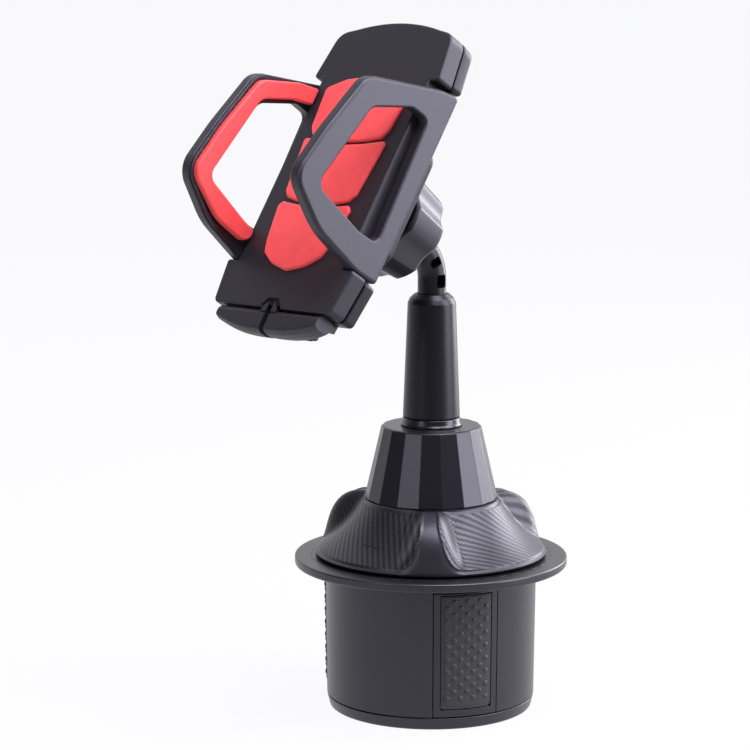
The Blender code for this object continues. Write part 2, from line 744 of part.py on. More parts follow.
def arm_outline():
    """The side view of an arm, as (y, z) corners."""
    return rounded([(ARM_LOW_Y, ARM_BACK, 0.8), (ARM_HIGH_Y, ARM_BACK, 0.8), (30.6, -3.0, 20.0),
                    (18.9, 25.6, 7.5), (-3.5, 31.6, 60.0), (-22.3, 35.2, 8.5), (-31.6, 18.0, 20.0),
                    (-35.9, -2.0, 20.0)])


def arm_window():
    return rounded([(19.2, -2.8, 2.6), (19.4, 4.6, 4.0), (11.2, 18.9, 5.0), (-20.3, 25.6, 3.6), (-24.6, 4.0, 6.0),
                    (-24.4, -4.4, 2.6)][::-1])


def liner_outline():
    """The soft C round the arm's window, which stops just above the cradle's face."""
    return rounded([(27.4, 0.5, 0.6), (24.9, 9.0, 12.0), (17.2, 23.8, 6.0), (-3.8, 29.8, 60.0), (-22.0, 33.0, 6.0),
                    (-30.2, 16.0, 16.0), (-31.2, 2.6, 4.0), (-28.6, 0.5, 0.6), (-25.9, 0.5, 0.6), (-24.9, 6.6, 6.0),
                    (-20.2, 26.4, 3.6), (12.0, 20.4, 5.0), (19.0, 8.0, 8.0), (21.4, 0.5, 0.6)][::-1])


def rack_shape(side):
    """A toothed bar reaching inwards past the pinion. side is +1 for the right arm, whose rack is above."""
    pitch = pi * MODULE
    line = BALL_Y + side * MODULE * PINION_TEETH / 2
    lean = tan(radians(20.0))
    half = pitch / 4 - 0.16
    start = 23.8
    teeth = 9
    outline = [(-side * start, line + side * 4.6), (side * 27.6, line + side * 4.6), (side * 27.6, line + side * 1.3)]
    for k in range(teeth):
        middle = side * pitch * (1 - k)
        tip = half - lean * 0.85
        foot = half + lean * 1.3
        for offset, rise in ((foot, 1.3), (tip, -0.85), (-tip, -0.85), (-foot, 1.3)):
            outline.append((middle + side * offset, line + side * rise))
    outline.append((-side * start, line + side * 1.3))
    return prism(outline, RACK_BACK, RACK_FRONT)


def pinion_outline():
    """Involute teeth with a tooth space facing straight up and straight down."""
    pitch_r = MODULE * PINION_TEETH / 2
    base_r = pitch_r * cos(radians(20.0))
    tip_r = pitch_r + 0.85 * MODULE
    root_r = pitch_r - 1.25 * MODULE
    half_at_pitch = pi / (2 * PINION_TEETH) - 0.16 / pitch_r
    involute = tan(radians(20.0)) - radians(20.0)
    outline = []
    for tooth in range(PINION_TEETH):
        middle = pi / 2 + 2 * pi * (tooth + 0.5) / PINION_TEETH
        flank = []
        for k in range(4):
            r = base_r + (tip_r - base_r) * k / 3
            press = sqrt(max(r * r - base_r * base_r, 0.0)) / base_r
            spread = half_at_pitch + involute - (press - atan2(press, 1.0))
            flank.append((r, spread))
        flank.insert(0, (root_r, flank[0][1]))
        for r, spread in flank:
            outline.append((r * cos(middle - spread), r * sin(middle - spread)))
        for r, spread in reversed(flank):
            outline.append((r * cos(middle + spread), r * sin(middle + spread)))
    return outline


def pinion():
    shape = prism(pinion_outline(), RACK_BACK, RACK_FRONT, holes=[circle(1.8, 20)])
    return solid("pinion", moved(shape, 0.0, BALL_Y, 0.0))


def arm(name, side):
    shape = drafted(along_x(prism(arm_outline(), ARM_INNER_X, ARM_OUTER_X, holes=[arm_window()])))
    if side < 0:
        shape = flipped(shape)
    return solid(name, shape, add=[rack_shape(side)])


def arm_liner(name, side):
    shape = drafted(along_x(prism(liner_outline(), LINER_INNER_X, ARM_INNER_X - 0.25)))
    return solid(name, shape if side > 0 else flipped(shape))


def face_pad(name, half):
    return solid(name, prism(rounded(mirrored(half), 3), 0.3, 1.4))


TOP_PAD = [(0.0, 8.2, 0.0), (10.0, 8.9, 0.0), (17.0, 10.2, 1.6), (19.0, 13.0, 2.0), (20.6, 28.0, 2.4),
           (12.0, 31.4, 0.0), (0.0, 32.8, 0.0)]
MIDDLE_PAD = [(0.0, -14.6, 0.0), (10.0, -14.1, 4.0), (15.2, -13.0, 1.6), (17.2, -10.8, 1.6), (19.9, 9.3, 1.4),
              (10.0, 7.8, 0.0), (0.0, 7.1, 0.0)]
LOWER_PAD = [(0.0, -39.0, 3.0), (8.0, -37.0, 8.0), (13.8, -33.4, 2.4), (15.4, -29.0, 6.0), (17.6, -16.4, 1.2),
             (16.2, -14.5, 1.2), (10.0, -15.2, 0.0), (0.0, -15.7, 0.0)]


def foot_section(x):
    """The foot's (y, z) section: knuckle round the pin, flat front and a round underside."""
    wide = max(0.0, (x - 6.0) / (FOOT_END - 6.0))
    low = -60.2 + 3.4 * wide ** 1.8
    back = -9.6 + 2.2 * wide ** 3
    section = []
    for a in (90.0, 65.0, 40.0, 15.0):
        section.append((FOOT_PIN_Y + FOOT_KNUCKLE * sin(radians(a)) - 0.5,
                        FOOT_PIN_Z + FOOT_KNUCKLE * cos(radians(a))))
    drop = FOOT_PIN_Y - low
    section += [(low + 0.8, 0.1 - 0.1 * drop / 6), (low, -1.0), (low - 0.2, -3.6),
                (low + 0.07 * drop, -6.6), (low + 0.42 * drop, back + 0.3), (FOOT_PIN_Y + 0.9, back),
                (FOOT_PIN_Y + 1.9, back + 0.8)]
    return [(x, y, z) for y, z in section]


def foot(name, side):
    stations = (1.2, 3.5, 7.0, 11.0, 15.0, 18.5, 21.4, 23.6, FOOT_END)
    shape = lofted([foot_section(x) for x in stations])
    peak = prism([(1.2, -53.4), (3.7, -53.4), (3.6, -52.2), (2.1, -50.3), (1.2, -50.2)], -3.4, 0.08)
    bore = along_x(prism(circle(FOOT_PIN_R + GAP, 12, (FOOT_PIN_Y, FOOT_PIN_Z)), -2.0, FOOT_END - 0.8))
    slot = brick(LUG_X[0] - GAP, LUG_X[1] + GAP, -56.6, -50.0, -14.0, FOOT_PIN_Z + LUG_R + GAP)
    if side < 0:
        shape, peak, bore, slot = flipped(shape), flipped(peak), flipped(bore), flipped(slot)
    return solid(name, shape, add=[peak], cut=[bore, slot])


def release_slider():
    """A thumb tab under the cradle, a bar up the spine and a finger that lifts the pawl."""
    tab = brick(-6.4, 6.4, -54.4, -50.0, -18.5, -13.0)
    bar = brick(-5.4, 5.4, -50.5, -34.0, -17.4, -14.4)
    finger = brick(-1.7, 1.7, -34.5, -29.9, -17.4, -14.4)
    post = brick(-1.7, 1.7, -31.6, -29.9, -15.0, -6.8)
    return solid("release_slider", tab, add=[bar, finger, post])


def ratchet_pawl():
    x, y = PAWL_PIVOT
    lever = rounded([(x - 10.0, y - 5.4, 1.0), (x + 3.0, y - 3.0, 2.0), (x + 3.4, y + 7.6, 1.0), (x + 0.6, y + 7.6, 0.6),
                     (x - 2.6, y + 1.6, 1.0), (x - 10.0, y - 2.6, 0.6)])
    return solid("ratchet_pawl", prism(lever, -8.9, -6.3, holes=[circle(1.7, 16, PAWL_PIVOT)]))


# ---------------------------------------------------------------- assembly

def cradle_frame():
    """World placement of the cradle: x across, y up its face, z out of its face."""
    tilt = radians(CRADLE_TILT)
    x = Vector((1.0, 0.0, 0.0))
    y = Vector((0.0, sin(tilt), cos(tilt)))
    z = Vector((0.0, -cos(tilt), sin(tilt)))
    roll = radians(CRADLE_ROLL)
    across = x * cos(roll) + y * sin(roll)
    upward = y * cos(roll) - x * sin(roll)
    ball = Vector((0.0, -BALL_OUT, BALL_Z))
    origin = ball + z * FACE_FROM_BALL - upward * BALL_Y
    frame = Matrix((across, upward, z)).transposed().to_4x4()
    frame.translation = origin * MM
    return frame


def build_base(finishes):
    plastic, gloss, rubber, steel = (finishes[key] for key in ("plastic", "gloss", "rubber", "steel"))
    world = Matrix.Identity(4)
    middle = pivot("base_axis", world, (0, 0, 0))
    hang(base_cup(), middle, plastic)
    hang(base_cap(), middle, plastic)
    hang(guide_plate(), middle, plastic)
    hang(spindle(), middle, plastic)
    hang(cone_collar(), middle, gloss, 10.0)
    hang(collar_ring(), middle, gloss)
    for number, (x, y) in enumerate(cap_screw_spots(), 1):
        screw = solid(f"cap_screw_{number}", moved(screw_shape(2.7, 1.6, 1.0, 12.0), x, y, 2.3 + GAP - 0.4))
        hang(screw, middle, steel)
    turning = pivot("knob_axis", world, (0, 0, KNOB_LOW))
    hang(adjusting_knob(), turning, plastic, 20.0)
    hang(scroll_cam(), turning, plastic)
    for number, heading in enumerate(JAW_HEADINGS, 1):
        slide = pivot(f"jaw_{number}_slide", Matrix.Rotation(radians(heading), 4, "Z"), (PIN_REST, 0, 40))
        hang(jaw_piece(f"jaw_{number}"), slide, plastic)
        hang(jaw_pad(f"jaw_pad_{number}"), slide, rubber)
        pin = solid(f"cam_pin_{number}", moved(rod(PIN_R, 39.3, CAM_HIGH - GAP, steps=12), PIN_REST))
        hang(pin, slide, steel)
    swivel = pivot("pole_axis", world, (0, 0, SPIGOT_LOW))
    hang(pole(), swivel, plastic)
    hang(pole_washer(), swivel, steel)
    hang(pole_screw(), swivel, steel)
    hang(neck_and_ball(), swivel, plastic)


def build_cradle(finishes):
    plastic, rubber, steel, red = (finishes[key] for key in ("plastic", "rubber", "steel", "red"))
    frame = cradle_frame()
    ball = (0, BALL_Y, -FACE_FROM_BALL)
    hang(shell_cap("ball_pad", BALL_R + 0.2, 10.05, 72.0), pivot("tilt_axis", frame, ball), rubber)
    hang(shell_cap("ball_cup", 10.35, 11.4, 64.0), pivot("lean_axis", frame, ball), plastic)
    spin = pivot("cradle_axis", frame, ball)
    hang(ball_socket(), spin, plastic)
    hang(joint_housing(), spin, plastic)
    hang(back_cover(), spin, plastic)
    hang(front_cover(), spin, plastic)
    for number, (x, y) in enumerate(casing_screw_spots(), 1):
        screw = moved(screw_shape(2.6, 1.5, 1.0, 6.6), x, y, -10.2 - GAP)
        hang(solid(f"casing_screw_{number}", screw), spin, steel)
    for number, (x, y) in enumerate(socket_screw_spots(), 1):
        screw = moved(screw_shape(2.1, 1.4, 1.0, 5.2), x, y + BALL_Y, -15.0 - GAP)
        hang(solid(f"socket_screw_{number}", screw), spin, steel)
    for name, half in (("top_pad", TOP_PAD), ("middle_pad", MIDDLE_PAD), ("lower_pad", LOWER_PAD)):
        hang(face_pad(name, half), spin, red)
    pin = along_x(prism(circle(FOOT_PIN_R, 12, (FOOT_PIN_Y, FOOT_PIN_Z)), -FOOT_END + 1.2, FOOT_END - 1.2))
    hang(solid("foot_pin", pin), spin, steel)
    hang(solid("pinion_axle", moved(rod(1.5, -12.0, -2.4), 0, BALL_Y)), spin, steel)
    hang(lock_nut(), pivot("nut_axis", frame, ball), plastic)
    for word, side in (("left", -1), ("right", 1)):
        slide = pivot(f"arm_{word}_slide", frame, (side * ARM_INNER_X, 0, 0))
        hang(arm(f"arm_{word}", side), slide, plastic)
        hang(arm_liner(f"arm_liner_{word}", side), slide, red)
        hinge = pivot(f"foot_{word}_hinge", frame, (side * 14.0, FOOT_PIN_Y, FOOT_PIN_Z))
        hang(foot(f"foot_{word}", side), hinge, plastic)
    turning = pivot("pinion_centre", frame, (0, BALL_Y, -7))
    hang(pinion(), turning, plastic)
    spring = moved(coil(3.6, 0.22, 3, -4.7, -2.9), 0.0, BALL_Y)
    hang(solid("opening_spring", spring), turning, steel)
    press = pivot("release_slide", frame, (0, -52, -16))
    hang(release_slider(), press, plastic)
    spring = moved(along_y(coil(1.9, 0.2, 4, -29.2, -26.8)), 0.0, 0.0, -16.0)
    hang(solid("release_spring", spring), press, steel)
    rock = pivot("pawl_axis", frame, (*PAWL_PIVOT, -7.6))
    hang(ratchet_pawl(), rock, steel)


def main():
    clear_scene()
    finishes = {"plastic": finish("black_plastic", (0.020, 0.019, 0.023), 0.42),
                "gloss": finish("collar_plastic", (0.018, 0.017, 0.021), 0.28),
                "rubber": finish("black_rubber", (0.022, 0.021, 0.023), 0.75),
                "steel": finish("steel", (0.55, 0.55, 0.57), 0.3, 1.0),
                "red": finish("red_rubber", (0.86, 0.055, 0.05), 0.55)}
    build_base(finishes)
    build_cradle(finishes)
    bpy.context.view_layer.update()


main()
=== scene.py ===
"""Looks for the cup-holder phone mount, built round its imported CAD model.

The world is in metres. Shapes are drawn in millimetres, and MM turns them into metres.
The base, knob and pole are drawn round the world's Z axis. The cradle is drawn in its own frame:
x is its width, y runs up its face and z stands out of it, with the origin in the middle of the face.
"""
import json
from math import asin, atan2, cos, degrees, hypot, pi, radians, sin, sqrt, tan

import bmesh
import bpy
from mathutils import Matrix, Vector
from mathutils.geometry import tessellate_polygon


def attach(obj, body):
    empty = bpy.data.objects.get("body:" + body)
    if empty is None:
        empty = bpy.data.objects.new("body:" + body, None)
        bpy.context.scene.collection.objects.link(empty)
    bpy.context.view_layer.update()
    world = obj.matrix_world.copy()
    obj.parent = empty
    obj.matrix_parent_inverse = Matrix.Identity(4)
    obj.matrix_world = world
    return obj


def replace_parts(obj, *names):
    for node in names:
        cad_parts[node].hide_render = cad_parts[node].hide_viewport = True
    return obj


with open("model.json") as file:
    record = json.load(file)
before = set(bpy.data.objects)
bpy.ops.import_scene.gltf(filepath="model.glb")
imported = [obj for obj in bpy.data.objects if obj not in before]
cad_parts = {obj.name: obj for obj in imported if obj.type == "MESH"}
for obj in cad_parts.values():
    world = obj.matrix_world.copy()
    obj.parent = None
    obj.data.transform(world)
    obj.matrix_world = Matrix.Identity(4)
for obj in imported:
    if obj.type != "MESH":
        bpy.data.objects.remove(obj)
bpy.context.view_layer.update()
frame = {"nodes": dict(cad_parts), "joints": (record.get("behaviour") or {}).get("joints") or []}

MM = 0.001
GAP = 0.3  # clearance between neighbouring pieces

# Base, as the CAD has it
CUP_R = 35.0
CUP_DRAFT = 0.012
CUP_WALL = 2.4
CAP_TOP = 4.1
CAP_SCREW_R = 24.0  # from the base's axis to a cap screw
DECK_TOP = 51.9
DECK_THICK = 3.0
DECK_BORE_R = 17.7
FLANGE_R = 45.85
FLANGE_TICKS = 48
JAW_HEADINGS = (-21.15, 98.85, 218.85)
JAW_SPAN = 36.6
JAW_TOP = 46.3
JAW_WALL = 2.1
PIN_REST = 19.0
PIN_R = 1.5
GUIDE_LOW = 41.6
PAD_SPAN = 28.6
PAD_LOW = 7.2
PAD_HIGH = 45.4

# Knob
KNOB_FINS = 3
KNOB_HEADING = 78.45  # heading of the first fin's middle
KNOB_TOP = 71.3
KNOB_LOW = 52.25
KNOB_EDGE_Z = 53.6
KNOB_EDGE_R = 39.2
KNOB_RING_R = 22.4
FIN_FLAT = 4.5  # degrees from a fin's middle to the end of its crest
FIN_HALF = 19.0  # degrees from its middle to its foot, where the CAD has 24
FIN_CORE_R = 24.0
FIN_CREST_Z = 71.4
FIN_POWER = 0.85  # under 1 squares the fin's round back a little
PANEL_RAISE = 0.5  # how far the patterned panels stand out of the knob
PANEL_CORNER = 3.6
PANEL_LENGTH = 26.0  # from the ring down to the knob's edge
PANEL_STEP = 0.35  # width of the soft step at a panel's edge
ARROW_HEADING = -80.0
ARROW_R = 33.0
WEAVE_PITCH = 0.68  # width of one strand

# Collar, pole and neck
CONE_FACETS = 18
CONE_HEADING = -31.55
CONE_LOW = 71.6
CONE_HIGH = 95.6
CONE_LOW_R = 22.3
CONE_HIGH_R = 16.8
SPINDLE_R = 13.7
SPINDLE_TOP = 92.0
SPIGOT_R = 8.6
SPIGOT_LOW = 60.0
POLE_LOW = 99.1
POLE_SHOULDER = 137.4
POLE_TOP = 140.4
POLE_LOW_R = 9.56
POLE_HIGH_R = 8.05
NECK_R = 4.75
NECK_BEND_R = 13.0
BALL_R = 8.7  # a little under the CAD's 8.8, to turn freely between its two pads

# Cradle
FACE_FROM_BALL = 35.0
BALL_Y = -4.6
FACE_SEAM = -6.5
BACK_SEAM = -6.9
BACK_FACE = -11.9
HOUSING_BACK = -20.8
WAIST_X = 26.0
CAVITY_X = 24.2
ARM_INNER_X = 26.8
ARM_OUTER_X = 31.0
ARM_BACK = -10.9
ARM_DRAFT = 0.033
ARM_LOW_Y = -36.0
ARM_HIGH_Y = 31.9
LINER_INNER_X = 24.2
RACK_BACK = -8.8
RACK_FRONT = -5.4
PINION_TEETH = 12
MODULE = 1.0
FOOT_PIN_Y = -54.4
FOOT_PIN_Z = -2.6
FOOT_PIN_R = 0.75
FOOT_KNUCKLE = 2.7
LUG_R = 1.65
LUG_X = (20.2, 21.8)
FOOT_END = 24.8

JOINTS = {joint["name"]: joint for joint in frame["joints"]}


def cradle_place():
    """The cradle's frame, from its joints: tilt, lean and spin are its x, y and z axes."""
    ball = Vector(JOINTS["cradle_spin"]["pos_m"])
    x, y, z = (Vector(JOINTS[name]["axis"]) for name in ("cradle_tilt", "cradle_lean", "cradle_spin"))
    place = Matrix((x, y, z)).transposed().to_4x4()
    place.translation = ball + (z * FACE_FROM_BALL - y * BALL_Y) * MM
    return place


WORLD = Matrix.Identity(4)
CRADLE = cradle_place()


# ---- outlines

def circle(radius, steps, centre=(0.0, 0.0)):
    turn = 2 * pi / steps
    return [(centre[0] + radius * cos(k * turn), centre[1] + radius * sin(k * turn)) for k in range(steps)]


def rounded(corners, steps=8):
    """A closed outline through (x, y, radius) corners, with each corner turned into an arc."""
    outline = []
    count = len(corners)
    for index, (x, y, radius) in enumerate(corners):
        corner = Vector((x, y))
        before = (Vector(corners[index - 1][:2]) - corner).normalized()
        after = (Vector(corners[(index + 1) % count][:2]) - corner).normalized()
        angle = before.angle(after)
        if radius <= 0.0 or angle > radians(179.5):
            outline.append((x, y))
            continue
        centre = corner + (before + after).normalized() * (radius / sin(angle / 2))
        reach = radius / tan(angle / 2)
        start = corner + before * reach - centre
        sweep = start.angle_signed(corner + after * reach - centre)
        for step in range(steps + 1):
            spoke = start.copy()
            spoke.rotate(Matrix.Rotation(-sweep * step / steps, 2))
            outline.append(tuple(centre + spoke))
    return outline


def mirrored(half):
    """Closes a half outline, listed upwards on the +x side, with its mirror image."""
    return half + [(-point[0], *point[1:]) for point in reversed(half) if point[0] > 1e-6]


def box_outline(x0, x1, y0, y1):
    return [(x0, y0), (x1, y0), (x1, y1), (x0, y1)]


def round_box(x0, x1, y0, y1, radii, steps=8):
    """A rectangle with a radius at each corner, anticlockwise from (x0, y0)."""
    return rounded([(*spot, radius) for spot, radius in zip(box_outline(x0, x1, y0, y1), radii)], steps)


def anticlockwise(outline):
    area = sum(a[0] * b[1] - b[0] * a[1] for a, b in zip(outline, outline[1:] + outline[:1]))
    return list(outline) if area > 0 else list(outline)[::-1]


def inset(outline, amount):
    """Moves an anticlockwise outline inwards by an amount, or outwards where that is negative."""
    moved_points = []
    count = len(outline)
    for index in range(count):
        here = Vector(outline[index])
        ahead = (Vector(outline[(index + 1) % count]) - here).normalized()
        behind = (here - Vector(outline[index - 1])).normalized()
        inward = Vector((-ahead.y - behind.y, ahead.x + behind.x)).normalized()
        share = max(inward.dot(Vector((-ahead.y, ahead.x))), 0.35)
        moved_points.append(tuple(here + inward * (amount / share)))
    return moved_points


# ---- shapes, as (points, faces)

def edge_rows(low, high, soft_low, soft_high, steps=4):
    """(inset, height) rows up a wall whose two edges are rounded, each with a flat row inside it."""
    turns = [pi / 2 * k / steps for k in range(steps + 1)]
    rows = [(soft_low + 0.1, low)]
    rows += [(soft_low * (1 - sin(a)), low + soft_low * (1 - cos(a))) for a in turns]
    rows += [(soft_high * (1 - cos(a)), high - soft_high * (1 - sin(a))) for a in turns]
    return rows + [(soft_high + 0.1, high)]


def stacked(outline, rows, holes=(), hole_rows=()):
    """Skins an outline up its (inset, height) rows and caps both ends. A hole's rows widen it."""
    loops = [(anticlockwise(outline), rows, 1.0)]
    loops += [(anticlockwise(hole), hole_rows, -1.0) for hole in holes]
    points = []
    faces = []
    low_ring = []
    high_ring = []
    for outer, levels, sign in loops:
        size = len(outer)
        first = len(points)
        for amount, height in levels:
            points += [(x, y, height) for x, y in inset(outer, sign * amount)]
        for row in range(len(levels) - 1):
            for k in range(size):
                a = first + row * size + k
                b = first + row * size + (k + 1) % size
                faces.append((a, b, b + size, a + size))
        low_ring.append(list(range(first, first + size)))
        high_ring.append(list(range(first + (len(levels) - 1) * size, first + len(levels) * size)))
    for rings in (low_ring, high_ring):
        if len(rings) == 1:
            faces.append(tuple(rings[0]))
            continue
        flat = [index for ring in rings for index in ring]
        polygon = [[Vector((points[i][0], points[i][1], 0.0)) for i in ring] for ring in rings]
        faces += [tuple(flat[i] for i in cap) for cap in tessellate_polygon(polygon)]
    return points, faces


def soft_prism(outline, low, high, soft_low, soft_high, steps=4):
    """An extruded outline with rounded edges."""
    return stacked(outline, edge_rows(low, high, soft_low, soft_high, steps))


def prism(outline, low, high):
    return stacked(outline, [(0.0, low), (0.0, high)])


def pillow(outline, low, high, soft, crown, steps=5):
    """A pad with round shoulders and a slightly crowned top."""
    edge = anticlockwise(outline)
    centre = sum((Vector(point) for point in edge), Vector((0.0, 0.0))) / len(edge)
    sections = [[(x, y, low) for x, y in edge]]
    for k in range(steps + 1):
        a = pi / 2 * k / steps
        height = high - soft * (1 - sin(a))
        sections.append([(x, y, height) for x, y in inset(edge, soft * (1 - cos(a)))])
    shoulder = inset(edge, soft)
    for share in (0.96, 0.88, 0.74, 0.55, 0.34, 0.14):
        height = high + crown * (1 - share ** 2) ** 1.5
        sections.append([(*(centre + (Vector(point) - centre) * share), height) for point in shoulder])
    return lofted(sections)


def revolved(loop_at, steps, start=0.0, sweep=360.0):
    """Turns a closed (radius, height) loop about Z. loop_at gives the loop at each heading in degrees."""
    whole = sweep >= 360.0
    rings = steps if whole else steps + 1
    points = []
    index = []
    for k in range(rings):
        heading = radians(start + sweep * k / steps)
        row = []
        for order, (r, z) in enumerate(loop_at(start + sweep * k / steps)):
            if r < 1e-6 and k > 0 and whole:
                row.append(index[0][order])
                continue
            row.append(len(points))
            points.append((r * cos(heading), r * sin(heading), z))
        index.append(row)
    faces = []
    size = len(index[0])
    for k in range(steps):
        this = index[k]
        following = index[(k + 1) % rings]
        for j in range(size):
            quad = (this[j], following[j], following[(j + 1) % size], this[(j + 1) % size])
            face = [corner for place, corner in enumerate(quad) if corner not in quad[:place]]
            if len(face) > 2:
                faces.append(tuple(face))
    if not whole:
        faces += [tuple(index[0]), tuple(index[-1])]
    return points, faces


def turned(loop, steps, start=0.0, sweep=360.0):
    return revolved(lambda heading: loop, steps, start, sweep)


def lofted(sections):
    """Skins a row of closed sections that have the same number of points, and caps both ends."""
    size = len(sections[0])
    points = [tuple(point) for section in sections for point in section]
    faces = [tuple(range(size)), tuple(range(len(points) - size, len(points)))]
    for row in range(len(sections) - 1):
        for k in range(size):
            a = row * size + k
            b = row * size + (k + 1) % size
            faces.append((a, b, b + size, a + size))
    return points, faces


def swept(path, radii, sides):
    """A round rod along a path in the plane x = 0, with a radius at each point."""
    spots = [Vector(spot) for spot in path]
    side = Vector((1.0, 0.0, 0.0))
    sections = []
    for index, spot in enumerate(spots):
        ahead = spots[min(index + 1, len(spots) - 1)]
        behind = spots[max(index - 1, 0)]
        up = (ahead - behind).normalized().cross(side)
        sections.append([spot + radii[index] * (side * x + up * y) for x, y in circle(1.0, sides)])
    return lofted(sections)


def moved(shape, x=0.0, y=0.0, z=0.0):
    points, faces = shape
    return [(a + x, b + y, c + z) for a, b, c in points], faces


def along_x(shape):
    """Maps an outline's x, y and height to the cradle's y, z and x."""
    points, faces = shape
    return [(height, a, b) for a, b, height in points], faces


def on_side(shape, side):
    """A right-hand shape as it is, or its mirror image in x = 0 where side is -1."""
    points, faces = shape
    return [(side * a, b, c) for a, b, c in points], faces


def spun(shape, heading):
    """Turns a shape about Z by a heading in degrees."""
    points, faces = shape
    c = cos(radians(heading))
    s = sin(radians(heading))
    return [(x * c - y * s, x * s + y * c, z) for x, y, z in points], faces


def leant(shape, y, z, angle):
    """Leans a shape towards -Y by an angle in degrees and then moves it."""
    points, faces = shape
    c = cos(radians(angle))
    s = sin(radians(angle))
    return [(a, b * c - d * s + y, b * s + d * c + z) for a, b, d in points], faces


def brick(x0, x1, y0, y1, z0, z1):
    return prism(box_outline(x0, x1, y0, y1), z0, z1)


def rod(radius, low, high, x=0.0, y=0.0, steps=24):
    return prism(circle(radius, steps, (x, y)), low, high)


def together(*shapes):
    """Several closed shapes in one mesh."""
    points = []
    faces = []
    for some_points, some_faces in shapes:
        faces += [tuple(index + len(points) for index in face) for face in some_faces]
        points += list(some_points)
    return points, faces


# ---- Blender objects

def add_object(name, data):
    thing = bpy.data.objects.new(name, data)
    bpy.context.scene.collection.objects.link(thing)
    return thing


def raw_object(name, shape, place):
    points, faces = shape
    mesh = bpy.data.meshes.new(name)
    mesh.from_pydata([place @ (Vector(point) * MM) for point in points], [], faces)
    work = bmesh.new()
    work.from_mesh(mesh)
    bmesh.ops.remove_doubles(work, verts=work.verts, dist=1e-7)
    bmesh.ops.recalc_face_normals(work, faces=work.faces)
    work.to_mesh(mesh)
    work.free()
    return add_object(name, mesh)


def combine(body, shape, operation, place):
    """Applies one exact Boolean to the body."""
    tool = raw_object("tool", shape, place)
    modifier = body.modifiers.new("combine", "BOOLEAN")
    modifier.operation = operation
    modifier.solver = "EXACT"
    modifier.object = tool
    bpy.context.view_layer.update()
    graph = bpy.context.evaluated_depsgraph_get()
    result = bpy.data.meshes.new_from_object(body.evaluated_get(graph))
    body.modifiers.clear()
    body.data = result
    bpy.data.objects.remove(tool, do_unlink=True)


def build(name, shape, place=WORLD, add=(), cut=(), bevel=0.0, crease=40.0):
    """Makes one object from a shape, with Booleans and then a bevel along its hard edges."""
    body = raw_object(name, shape, place)
    for extra in add:
        combine(body, extra, "UNION", place)
    for hole in cut:
        combine(body, hole, "DIFFERENCE", place)
    body.data.shade_smooth()
    body.data.set_sharp_from_angle(angle=radians(crease))
    if bevel > 0.0:
        modifier = body.modifiers.new("soft_edges", "BEVEL")
        modifier.width = bevel * MM
        modifier.segments = 2
        modifier.limit_method = "ANGLE"
        modifier.angle_limit = radians(crease)
        modifier.use_clamp_overlap = True
        modifier.harden_normals = True
    modifier = body.modifiers.new("even_shading", "WEIGHTED_NORMAL")
    modifier.keep_sharp = True
    return body


def dress(thing, body, material):
    """Gives a piece its material and its body."""
    thing.data.materials.clear()
    thing.data.materials.append(material)
    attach(thing, body)
    return thing


def stand_for(thing, body, node, material):
    """Shows a piece in place of its CAD node."""
    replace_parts(dress(thing, body, material), node)
    return thing


# ---- materials

COOL = (0.88, 0.86, 1.0, 1.0)  # the plastics shine a little blue


class Graph:
    """A short way to write a material's or world's nodes. Sockets and plain numbers can be mixed."""

    def __init__(self, owner, shader="Principled BSDF", place="Object"):
        owner.use_nodes = True
        self.owner = owner
        self.tree = owner.node_tree
        self.shader = self.tree.nodes[shader]
        self.place = self.node("TexCoord").outputs[place]

    def node(self, kind, inputs=None, **settings):
        """A new node with its settings, and with values or sockets for its inputs."""
        made = self.tree.nodes.new("ShaderNode" + kind)
        for key, value in settings.items():
            setattr(made, key, value)
        for key, value in (inputs or {}).items():
            self.feed(made.inputs[key], value)
        return made

    def feed(self, socket, value):
        if isinstance(value, bpy.types.NodeSocket):
            self.tree.links.new(value, socket)
        else:
            socket.default_value = value

    def set(self, name, value):
        self.feed(self.shader.inputs[name], value)

    def math(self, operation, *values):
        return self.node("Math", dict(enumerate(values)), operation=operation).outputs[0]

    def noise(self, size, detail=2.0, roughness=0.55, stretch=(1.0, 1.0, 1.0)):
        """Noise from 0 to 1 whose features are about this many millimetres across."""
        place = self.node("Mapping", {"Vector": self.place, "Scale": stretch}).outputs[0]
        inputs = {"Vector": place, "Scale": 1.0 / (size * MM), "Detail": detail, "Roughness": roughness}
        return self.node("TexNoise", inputs).outputs["Fac"]

    def ranged(self, value, low, high, from_low=0.3, from_high=0.7):
        inputs = {"Value": value, "From Min": from_low, "From Max": from_high, "To Min": low, "To Max": high}
        return self.node("MapRange", inputs).outputs["Result"]

    def distance_along(self, direction):
        inputs = {0: self.place, 1: direction}
        return self.node("VectorMath", inputs, operation="DOT_PRODUCT").outputs["Value"]

    def blend(self, share, first, second):
        inputs = {0: share, 6: (*first, 1.0), 7: (*second, 1.0)}
        return self.node("Mix", inputs, data_type="RGBA").outputs[2]

    def bump(self, height, depth, under=None):
        """Relief of this many millimetres, on top of an earlier relief."""
        inputs = {"Strength": 1.0, "Distance": depth * MM, "Height": height}
        if under is not None:
            inputs["Normal"] = under
        return self.node("Bump", inputs).outputs["Normal"]


def plastic(name, colour=(0.0070, 0.0066, 0.0090), rough=0.40, grain=0.30, depth=0.012, specular=0.55):
    """Moulded plastic: fine grain, faint flow marks and slightly uneven gloss."""
    g = Graph(bpy.data.materials.new(name))
    shade = g.ranged(g.noise(0.9, 3.0), 0.0, 1.0)
    g.set("Base Color", g.blend(shade, colour, tuple(c * 1.2 for c in colour)))
    g.set("Roughness", g.ranged(g.noise(0.7, 4.0), rough - 0.015, rough + 0.02))
    g.set("Specular IOR Level", specular)
    g.set("Specular Tint", COOL)
    flow = g.bump(g.noise(14.0, 1.0), 0.02)
    fine = g.bump(g.noise(grain, 3.0, 0.6), depth, flow)
    g.set("Normal", fine)
    return g.owner


